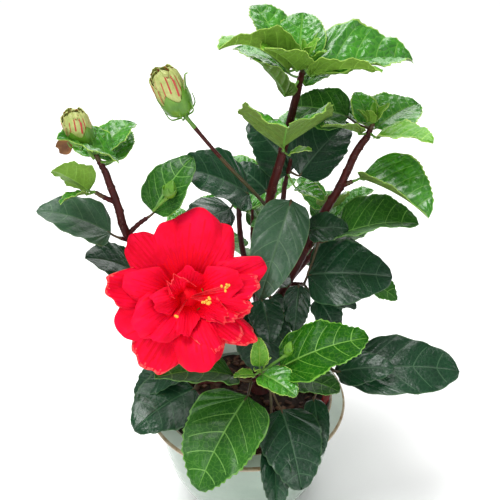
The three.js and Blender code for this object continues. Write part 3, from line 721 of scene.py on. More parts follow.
@dataclass(frozen=True)
class LeafBlade:
    """How a blade is laid out: rows that follow the side veins, columns from the midrib to the edge."""

    veins: tuple[float, ...] = (0.15, 0.29, 0.42, 0.54, 0.66, 0.78, 0.89)
    fan: float = 0.42  # rows below this share all start where the stalk ends
    steps: int = 4  # rows between two veins
    strip: float = 0.0032  # half a side vein's width, as a share of the rows
    midrib: float = 0.9  # half the midrib's width at its foot
    midrib_share: float = 0.06  # the most of the half width that it takes
    groove: float = 0.25  # how far the midrib sinks in
    vein_end: int = 3  # columns from the edge where the side veins fade out
    thickness: float = 0.5
    fullness: float = 0.55
    teeth_start: tuple[float, float] = (0.3, 0.12)  # where the teeth start, and how soon they are full
    teeth_end: float = 0.04  # how soon they fade before the tip
    tooth_edge: tuple[float, float] = (0.92, 0.08)  # where they rise in the half width, and how steeply
    saw: float = 0.7  # where a saw tooth peaks in its field
    ribs: float = 3.2  # blisters from the midrib to the edge
    columns: tuple[float, ...] = (0.09, 0.19, 0.3, 0.41, 0.52, 0.63, 0.74, 0.84, 0.92, 0.965, 1.0)

    def outline(self, u: Array, roundness: float) -> Array:
        """Returns the half width at shares of the length, where the widest is one."""
        inside = np.clip(u, 0.0, 1.0)
        return np.power(np.maximum(np.sin(math.pi * inside**roundness), 0.0), self.fullness)

    def rows(self) -> tuple[Array, Array, Array, Array]:
        """Lays out the rows.

        Returns:
            Each row's share of the way, its share of the way between two veins, the number of the
            field between veins, and whether it is a tooth's tip.
        """
        bounds = [0.0, *self.veins, 1.0]
        places, phases, fields, tips = [], [], [], []
        for number, (low, high) in enumerate(zip(bounds, bounds[1:])):
            start = low + (self.strip if number else 0.0)
            end = high - (self.strip if number < len(self.veins) else 0.0)
            for step in range(self.steps + 1):
                places.append(lerp(start, end, step / self.steps))
                phases.append(step / self.steps)
                fields.append(number)
                tips.append(step % 2)
        return np.array(places), np.array(phases), np.array(fields), np.array(tips)

    def grow(self, shell: Shell, spec: Leaf, seed: int) -> None:
        """Adds one leaf's blade to a shell.

        Args:
            shell: what it is added to, with four slots for each age.
            spec: the leaf, settled.
            seed: sets how its edge waves.
        """
        look = AGES[spec.age]
        along, side, normal = spec.axes()
        random = SeededRandom(seed)
        length, half = spec.length, spec.width * spec.length / 2
        t, phase, number, tip = self.rows()
        start = np.clip((t - self.fan) / (1 - self.fan), 0, 1)
        room = np.maximum(self.outline(np.maximum(start, 0.2), spec.roundness), 0.2)
        rib = np.minimum(self.midrib * (1 - 0.7 * start) / half / room, self.midrib_share)[:, None]
        one_side = np.hstack([rib, np.tile(self.columns, (len(t), 1))])
        s = np.hstack([-one_side[:, ::-1], np.zeros((len(t), 1)), one_side])
        reach = np.abs(s)
        u = start[:, None] + (t - start)[:, None] * reach**1.2
        wide = half * self.outline(u, spec.roundness)
        toothed = (np.clip((t - self.teeth_start[0]) / self.teeth_start[1], 0, 1)
                   * np.clip((1.0 - t) / self.teeth_end, 0, 1))
        saw = 1.35 * np.where(phase < self.saw, phase / self.saw, (1 - phase) / 0.3)
        bumps = tip if spec.age in SERRATE else saw
        rise = np.clip((reach - self.tooth_edge[0]) / self.tooth_edge[1], 0, 1)
        tooth = look.teeth * spec.teeth * length * (toothed * bumps)[:, None] * rise
        across = s * wide + np.sign(s) * tooth * 0.8
        forward = u * length + tooth * 0.6
        swell = np.sin(math.pi * phase)[:, None] * np.sin(math.pi * np.clip(reach, 0, 1) ** 0.85)
        turn = random.next() * 6.28
        blister = 0.62 + 0.38 * np.cos(FULL_TURN * self.ribs * reach + number[:, None] * 1.7 + turn)
        quilt = look.quilt * length * swell * blister
        wave = look.wave * spec.wave * length * reach**3 * (
            np.sin(FULL_TURN * (2.1 * t[:, None] + 0.5 * np.sign(s) * random.next()) + turn)
            + 0.5 * np.sin(FULL_TURN * 5.3 * t[:, None] + 2 * turn))
        bend = spec.arch * length * 4 * u * (1 - u) - spec.curl * length * np.clip(u - 0.6, 0, 1) ** 2 / 0.16
        lift = bend + reach * wide * math.sin(math.radians(spec.fold)) + quilt + wave
        across = across * math.cos(math.radians(spec.fold))
        top = (np.array(spec.base) + forward[..., None] * along + across[..., None] * side
               + lift[..., None] * normal)
        under = top - normal * self.thickness
        top = top - (s == 0)[..., None] * normal * self.groove
        slots = np.full((len(t) - 1, s.shape[1] - 1), BLADE)
        slots[:, [0, -1]] = RIM
        strips = np.diff(number) > 0
        slots[strips, self.vein_end : -self.vein_end] = VEIN
        middle = s.shape[1] // 2
        slots[:, middle - 1 : middle + 1] = VEIN
        under_slots = np.where(slots == VEIN, VEIN, UNDER)
        shift = 4 * AGE_ORDER.index(spec.age)
        shell.sheet(top, under, slots + shift, under_slots + shift, RIM + shift)


SMALL_BLADE = LeafBlade(veins=(0.18, 0.36, 0.52, 0.66, 0.80), steps=4, vein_end=2, midrib=0.6, thickness=0.4,
                        columns=(0.2, 0.4, 0.6, 0.78, 0.92, 1.0))
LARGE_BLADE = LeafBlade()
SMALL_LEAF = 30.0


# ---------- stalks and wood

GREEN_STALK = Finish("green_stalk", (0.15, 0.33, 0.04), (0.085, 0.22, 0.025), 120.0, roughness=(0.4, 0.5),
                     relief=(500.0, 0.15))
RED_STALK = Finish("red_stalk", (0.085, 0.040, 0.014), (0.050, 0.050, 0.012), 120.0, roughness=(0.42, 0.55),
                   relief=(500.0, 0.2))
BARK = Finish("young_bark", (0.078, 0.0100, 0.0085), (0.040, 0.0065, 0.006), 240.0, stretch=(1.0, 1.0, 0.35),
              roughness=(0.36, 0.5), specular=0.22, relief=(700.0, 0.6),
              speck=(0.13, 0.07, 0.045), speck_scale=420.0, speck_size=0.16)
GREEN_WOOD, RED_WOOD, OLD_WOOD = range(3)
STALK_FINISHES = [GREEN_STALK, RED_STALK, BARK]


@dataclass(frozen=True)
class Stalks:
    """The rule for leaf stalks: each runs from the nearest place on its stem to under its blade."""

    radius: float = 1.05
    full_at: float = 60.0  # the leaf's length from which its stalk has the full radius
    sag: float = 0.08
    root_depth: float = 0.07  # how far it runs under the blade, as a share of the leaf
    sides: int = 8
    steps: int = 12

    def grow(self, shell: Shell, stem: tuple[Point, ...], spec: Leaf) -> None:
        """Adds one leaf's stalk to a shell.

        Args:
            shell: what it is added to.
            stem: the points of the stem it roots in.
            spec: the leaf, settled.
        """
        base = np.array(spec.base)
        samples = smooth_curve(stem, 12)[4:]
        root = samples[np.argmin(np.linalg.norm(samples - base, axis=1))]
        reach = float(np.linalg.norm(base - root))
        along, _, normal = spec.axes()
        rise = spec.arch * spec.length * 4 * self.root_depth * (1 - self.root_depth)
        end = base + along * self.root_depth * spec.length + normal * (rise - 0.7)
        middle = (root + base) / 2 - UP * self.sag * reach
        line = smooth_curve(np.array([root, middle, base - normal * 0.5, end]), self.steps)
        share = np.linspace(0, 1, len(line))
        size = self.radius * (0.7 + 0.3 * min(1.0, spec.length / self.full_at))
        foot = 0.35 * np.exp(-share * 9)
        knee = 0.22 * np.exp(-((share - 0.78) * 9) ** 2)
        radii = size * (1 - 0.25 * share + foot + knee)
        radii[-1] *= 0.4
        slot = GREEN_WOOD if spec.age in FRESH else RED_WOOD
        shell.tube(line, radii, self.sides, slot)


@dataclass(frozen=True)
class Limb:
    """One woody limb that tapers from its foot to its tip."""

    name: str
    radii: tuple[float, float]
    points: tuple[Point, ...]
    flare: float = 0.0  # how far the foot spreads
    collar: float = 0.9  # the swelling at the foot of a limb without a flare
    step: float = 1.4
    sides: int = 20
    joint: float = 17.0  # from one leaf scar to the next

    def length(self) -> float:
        """Returns the length along the limb."""
        return float(np.linalg.norm(np.diff(smooth_curve(self.points, 60), axis=0), axis=1).sum())

    def grow(self, shell: Shell) -> None:
        """Adds the limb to a shell.

        Args:
            shell: what it is added to, with bark as its only finish.
        """
        length = self.length()
        count = max(6, int(length / self.step))
        line = smooth_curve(self.points, count)
        share = np.linspace(0, 1, count + 1)
        place = share * length
        radii = lerp(*self.radii, share)
        spread = self.flare * np.maximum(0, 1 - share * (len(self.points) - 1)) ** 2
        foot = 0.0 if self.flare else self.collar
        radii = radii + spread + foot * np.exp(-((place - self.radii[0] * 1.4) / 3.5) ** 2)
        angle = np.arange(self.sides) * 2 * math.pi / self.sides
        relief = (0.10 * np.sin(3 * angle[None, :] + 0.23 * place[:, None])
                  + 0.07 * np.sin(5 * angle[None, :] - 0.41 * place[:, None])
                  + 0.05 * np.sin(9 * angle[None, :] + 1.3 * place[:, None]))
        for number in range(1, int(length / self.joint)):
            scar = math.radians(GOLDEN_ANGLE * number)
            near = np.exp(-((place - number * self.joint) / 1.6) ** 2)[:, None]
            facing = np.maximum(0, np.cos(angle - scar))[None, :] ** 3
            relief = relief + near * (0.22 + 0.75 * facing)
        shell.tube(line, radii, self.sides, 0, relief * min(1.0, self.radii[0] / 4))


SOIL_TOP = 96.0
GAP = 0.3
LIMBS = (
    Limb("trunk", (5.2, 2.7), (
        (12, 18, SOIL_TOP + GAP), (12, 18, 104), (10, 13, 160), (13, 9, 230),
        (17, 8, 286), (27, 8, 331), (37, 12, 378)), flare=3.5),
    Limb("bough_right", (3.8, 2.6), (
        (10, 13, 162), (32, 6, 215), (56, 1, 278), (69, 0, 306), (79, 0, 333), (86, 0, 345))),
    Limb("bough_left", (3.9, 2.5), (
        (10, 14, 148), (-30, -6, 195), (-66, -27, 248), (-84, -35, 285), (-89, -35, 309), (-95, -35, 334))),
    Limb("bough_behind_left", (2.7, 1.9), ((11, 11, 188), (0, 24, 222), (-5, 28, 252), (-6, 27, 286))),
    Limb("bough_behind_right", (2.7, 2.0), ((12, 10, 204), (18, 26, 234), (28, 32, 272), (30, 31, 292))),
    Limb("bough_back_left", (2.8, 2.0), ((11, 15, 128), (-12, 34, 158), (-38, 50, 188), (-46, 54, 203))),
    Limb("bough_back_right", (2.8, 2.0), ((11, 12, 180), (32, 28, 200), (56, 46, 222), (62, 50, 235))),
    Limb("bough_back", (2.6, 1.9), ((11, 14, 144), (9, 42, 170), (6, 70, 205), (5, 76, 222))),
    Limb("bough_low_front", (2.7, 1.9), ((11, 15, 128), (12, -8, 144), (12, -40, 158), (11, -64, 176))),
    Limb("bough_low_right", (2.8, 2.0), ((11, 16, 116), (34, 0, 138), (52, -16, 154), (60, -24, 160))),
    Limb("bough_low_left", (2.5, 1.8), ((12, 17, 110), (-10, -2, 124), (-24, -14, 133), (-34, -19, 136))),
)


@dataclass
class Wood:
    """The trunk and the boughs, each with the relief of its bark."""

    limbs: tuple[Limb, ...] = LIMBS

    def build(self, effects: SharedEffects) -> None:
        """Makes one piece for each limb.

        Args:
            effects: the shared node groups.
        """
        for limb in self.limbs:
            shell = Shell()
            limb.grow(shell)
            made = shell.piece(f"{limb.name}_wood", [BARK], effects)
            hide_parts(limb.name)


# ---------- buds


BUD_GREEN = Finish("bud_green", (0.12, 0.30, 0.014), (0.07, 0.21, 0.010), 160.0, roughness=(0.38, 0.5),
                   coat=0.2, relief=(500.0, 0.3))
BUD_PALE = Finish("bud_pale", (0.52, 0.55, 0.19), (0.36, 0.43, 0.11), 260.0, roughness=(0.45, 0.55),
                  relief=(500.0, 0.35), speck=(0.62, 0.40, 0.16), speck_scale=420.0, speck_size=0.10)
BUD_RED = Finish("bud_red", (0.55, 0.025, 0.035), (0.42, 0.09, 0.04), 260.0, roughness=(0.45, 0.55),
                 relief=(500.0, 0.2))
DRY = Finish("dry_bract", (0.26, 0.11, 0.03), (0.14, 0.055, 0.02), 200.0, roughness=(0.6, 0.75),
             relief=(400.0, 0.5))
BUD_FINISHES = [BUD_GREEN, BUD_PALE, BUD_RED, DRY]
SEPAL, PALE, STREAK, BRACT = range(4)
# A loose sepal's line in shares of its bud's length and radius, from foot to tip.
LOOSE_SEPAL = ((0.42, 0.86), (0.62, 1.12), (0.78, 1.42), (0.80, 1.66))


@dataclass(frozen=True)
class Bud:
    """A bud: petals rolled in a cone, a lobed cup of sepals and narrow bracts, at the end of a stalk."""

    base: Point
    azimuth: float
    rise: float
    length: float
    radius: float
    stalk: tuple[Point, ...]
    stalk_radius: float = 1.1
    joint: float = 0.0  # from the cup down to the joint in the stalk, none when zero
    cup: float = 0.62  # the sepals' tips, as a share of the length
    notch: float = 0.40  # the notches between them
    open_top: float = 0.60  # the radius of the petals' mouth, as a share
    whorls: tuple[float, float] = (1.0, 0.78)  # the size of the outer and the inner petals
    bract_count: int = 7
    bent_bract: int = 5  # the one that stands away
    petals: bool = True
    dry_bract: bool = False
    loose_sepal: bool = False

    def axes(self) -> Axes:
        """Returns the bud's directions: along it and two across it."""
        along = direction(self.azimuth, self.rise)
        side = unit(np.cross(along, np.array([0.0, -1.0, 0.2])))
        return along, side, np.cross(along, side)

    def place(self, angle: Array, height: Array, radius: Array) -> Array:
        """Finds places on the bud.

        Args:
            angle: round the bud, in radians.
            height: shares of its length.
            radius: from its middle line.

        Returns:
            The places, in the layout of the three.
        """
        along, side, other = self.axes()
        out = np.cos(angle)[..., None] * side + np.sin(angle)[..., None] * other
        return np.array(self.base) + out * radius[..., None] + along * (height * self.length)[..., None]

    def middle_line(self, height: Array) -> Array:
        """Returns places on the middle line at shares of the length."""
        return self.place(0 * height, height, 0 * height)

    def folds(self, count: int, depth: float, sides: int, places: int) -> Array:
        """Returns the relief of folds round the bud, places by sides, as a share of its radius deep."""
        round_it = np.cos(count * np.arange(sides) * FULL_TURN / sides)
        return depth * self.radius * round_it * np.ones((places, 1))

    def grow_cup(self, shell: Shell) -> None:
        """Adds the cup of five sepals.

        Args:
            shell: takes it.
        """
        share = grid(15, 2)[0]
        angle = np.linspace(0, FULL_TURN, 61)[None, :]
        ridge = np.abs(np.cos(2.5 * angle))
        top = self.notch + (self.cup - self.notch) * (1 - ridge) ** 0.8
        height = share * top
        belly = np.interp(height, [0, 0.04, 0.14, 0.3, 0.5, 0.7], [0.16, 0.5, 0.86, 1.0, 1.03, 0.94])
        radius = self.radius * (belly + 0.02 * (1 - ridge))
        flat = angle + 0 * share
        outer = self.place(flat, height, radius)
        inner = self.place(flat, height, radius - 0.5)
        shell.sheet(outer, inner, SEPAL, SEPAL, SEPAL)

    def grow_petals(self, shell: Shell) -> None:
        """Adds two whorls of five pleated petals, with ragged ends and red streaks, and a rolled middle.

        Args:
            shell: takes them.
        """
        random = SeededRandom(int(self.length * 10))
        share, across = grid(17, 19)
        for whorl, size in enumerate(self.whorls):
            mouth = 0.12 if whorl else self.open_top
            for number in range(5):
                middle = (number + 0.5 * whorl) * FULL_TURN / 5 + 0.35
                ragged = np.array([random.next() for _ in range(19)])[None, :]
                tip = 0.95 + 0.04 * math.sin(number * 2.4 + whorl) + 0.02 * whorl
                end = tip - 0.20 * np.abs(across) ** 1.6 + 0.035 * ragged * share**3
                height = 0.12 + (end - 0.12) * share
                belly = np.interp(height, [0.1, 0.3, 0.5, 0.72, 0.86, 0.95, 1.0],
                                  [0.55, 0.86, 0.95, 0.95, 0.90, 0.78, mouth])
                pleats = 0.035 * np.cos(7 * across * math.pi + number) * share
                radius = self.radius * size * (belly + 0.05 * across + pleats)
                angle = middle + across * 0.86 + 0.42 * share
                outer = self.place(angle, height, radius)
                inner = self.place(angle, height, radius - 0.4)
                slots = np.full((16, 18), PALE)
                slots[2:14, 8 + number % 2] = STREAK
                slots[2:9, 9 - number % 2] = STREAK
                slots[10:, [4, 13]] = STREAK
                slots[9:, [0, 17]] = STREAK
                shell.sheet(outer, inner, slots, slots, PALE)
        height = np.linspace(0.25, 0.95, 12)
        radii = self.radius * np.interp(height, [0.25, 0.5, 0.72, 0.86, 0.95], [0.5, 0.66, 0.66, 0.54, 0.12])
        shell.tube(self.middle_line(height), radii, 28, PALE, self.folds(7, 0.05, 28, 12))

    def grow_tip(self, shell: Shell) -> None:
        """Adds a closed pointed tip of sepals in place of petals.

        Args:
            shell: takes it.
        """
        height = 0.3 + 0.7 * np.linspace(0, 1, 9)
        radii = self.radius * np.interp(height, [0.3, 0.55, 0.8, 1.0], [0.9, 0.86, 0.5, 0.08])
        shell.tube(self.middle_line(height), radii, 15, SEPAL, self.folds(5, 0.09, 15, 9))

    def grow_bracts(self, shell: Shell) -> None:
        """Adds the narrow bracts under the cup, one of them bent away.

        Args:
            shell: takes them.
        """
        along, side, other = self.axes()
        base = np.array(self.base)
        for number in range(self.bract_count):
            angle = number * FULL_TURN / self.bract_count + 0.2
            out = math.cos(angle) * side + math.sin(angle) * other
            away = 1.2 if number == self.bent_bract else 0.97
            foot = base + out * self.radius * 0.3 - along * 0.3
            mid = base + out * self.radius * away + along * self.length * 0.10
            tip = base + out * self.radius * (away + 0.14) + along * self.length * 0.30
            line = smooth_curve(np.array([foot, mid, tip]), 10)
            shell.tube(line, np.linspace(0.055, 0.02, 11) * self.radius + 0.12, 6, SEPAL)

    def grow_dry_bract(self, shell: Shell) -> None:
        """Adds a dry bract that hangs from the side of the cup.

        Args:
            shell: takes it.
        """
        along, side, _ = self.axes()
        share, across = grid(9, 9)
        start = np.array(self.base) - side * self.radius * 0.9 + along * self.length * 0.1
        down = unit(-side * 0.9 - along * 0.25)
        wide = np.cross(down, unit(np.cross(down, UP)))
        curl = 1.6 * np.cos(across * 2.2)
        top = (start + down * (share * self.radius * 1.1)[..., None]
               + wide * (across * self.radius * 0.62 * np.sin(0.5 + 2.2 * share))[..., None]
               + np.cross(wide, down) * curl[..., None])
        shell.sheet(top, top - np.cross(wide, down) * 0.5, BRACT, BRACT, BRACT)

    def grow_loose_sepal(self, shell: Shell) -> None:
        """Adds a thin sepal that has bent away from the petals on the right.

        Args:
            shell: takes it.
        """
        along = self.axes()[0]
        right = np.array([1.0, -0.2, 0.0])
        out = unit(right - along * float(along @ right))
        base = np.array(self.base)
        line = smooth_curve(np.array([base + along * self.length * height + out * self.radius * away
                                      for height, away in LOOSE_SEPAL]), 14)
        flat = unit(np.cross(along, out))
        share, across = grid(15, 7)
        wide = self.radius * 0.26 * (1 - share) ** 0.7 + 0.2
        hollow = out * (0.6 * np.cos(across * 1.5))[..., None]
        top = line[:, None, :] + flat * (across * wide)[..., None] - hollow
        shell.sheet(top + out * 0.4, top, SEPAL, SEPAL, PALE)

    def grow_stalk(self, wood: Shell) -> None:
        """Adds the stalk with its joint.

        Args:
            wood: takes it, with the finishes of stalks.
        """
        end = np.array(self.base) + self.axes()[0] * 0.03 * self.length
        line = smooth_curve(np.vstack([np.array(self.stalk), end]), 28)
        left = np.linalg.norm(line - line[-1], axis=1)
        knob = 0.22 * np.exp(-((left - self.joint) / 1.6) ** 2) * (self.joint > 0)
        radii = self.stalk_radius * (1 + knob) + 0.5 * self.stalk_radius * np.exp(-(left / 2.5) ** 2)
        slots = [self.stalk_slot(gone) for gone in left[:-1]]
        wood.tube(line, radii, 10, slots)

    def stalk_slot(self, gone: float) -> int:
        """Chooses the stalk's finish: green down to the joint, then bark, then the older stalk's olive.

        Args:
            gone: how far below the cup.

        Returns:
            The slot of the finish.
        """
        if self.joint == 0 or gone < self.joint:
            return GREEN_WOOD
        return OLD_WOOD if gone < 3.2 * self.joint else RED_WOOD

    def grow(self, shell: Shell, wood: Shell) -> None:
        """Adds the bud to a shell of buds and its stalk to a shell of stalks.

        Args:
            shell: takes the bud.
            wood: takes the stalk.
        """
        self.grow_cup(shell)
        if self.petals:
            self.grow_petals(shell)
            self.grow_bracts(shell)
        else:
            self.grow_tip(shell)
        if self.dry_bract:
            self.grow_dry_bract(shell)
        if self.loose_sepal:
            self.grow_loose_sepal(shell)
        self.grow_stalk(wood)


TALL_BUD_NODE = "tall_bud"
TALL_BUD = Bud((-40, -33, 374), -150, 64, 36, 10.3, (
    (17, 8, 284), (5, -5, 305), (-8, -12, 323), (-23, -22, 346), (-40, -33, 374)),
    stalk_radius=1.35, joint=15.0, loose_sepal=True)


# ---------- shoots and their leaves


@dataclass(frozen=True)
class Spiral:
    """Leaves that follow a seeded spiral round a stem, from the lowest, largest leaf to the top."""

    count: int
    start: float  # the azimuth of the lowest leaf
    length: tuple[float, float]
    rise: tuple[float, float]
    low: float  # how far the lowest leaf's base hangs
    seed: int


@dataclass(frozen=True)
class Shoot:
    """A leafy shoot: one stem that stands on a limb, its leaves and its buds."""

    name: str
    on: str
    age: Age
    stem: tuple[Point, ...]
    radii: tuple[float, float]
    leaves: tuple[Leaf, ...] = ()
    buds: tuple[Bud, ...] = ()
    spiral: Spiral | None = None
    extras: tuple[Leaf, ...] = ()  # small leaves that fill the shoot out
    steps: int = 16

    def grow_stem(self, wood: Shell) -> None:
        """Adds the stem, red in the upper half of a young shoot.

        Args:
            wood: takes it, with the finishes of stalks.
        """
        lumps = 1 + 0.10 * np.sin(np.arange(self.steps + 1) * 1.9)
        radii = np.linspace(*self.radii, self.steps + 1) * lumps
        radii[-1] *= 0.55
        slots = [RED_WOOD if self.age in FRESH and step > self.steps // 2 else OLD_WOOD
                 for step in range(self.steps)]
        wood.tube(smooth_curve(self.stem, self.steps), radii, 12, slots)


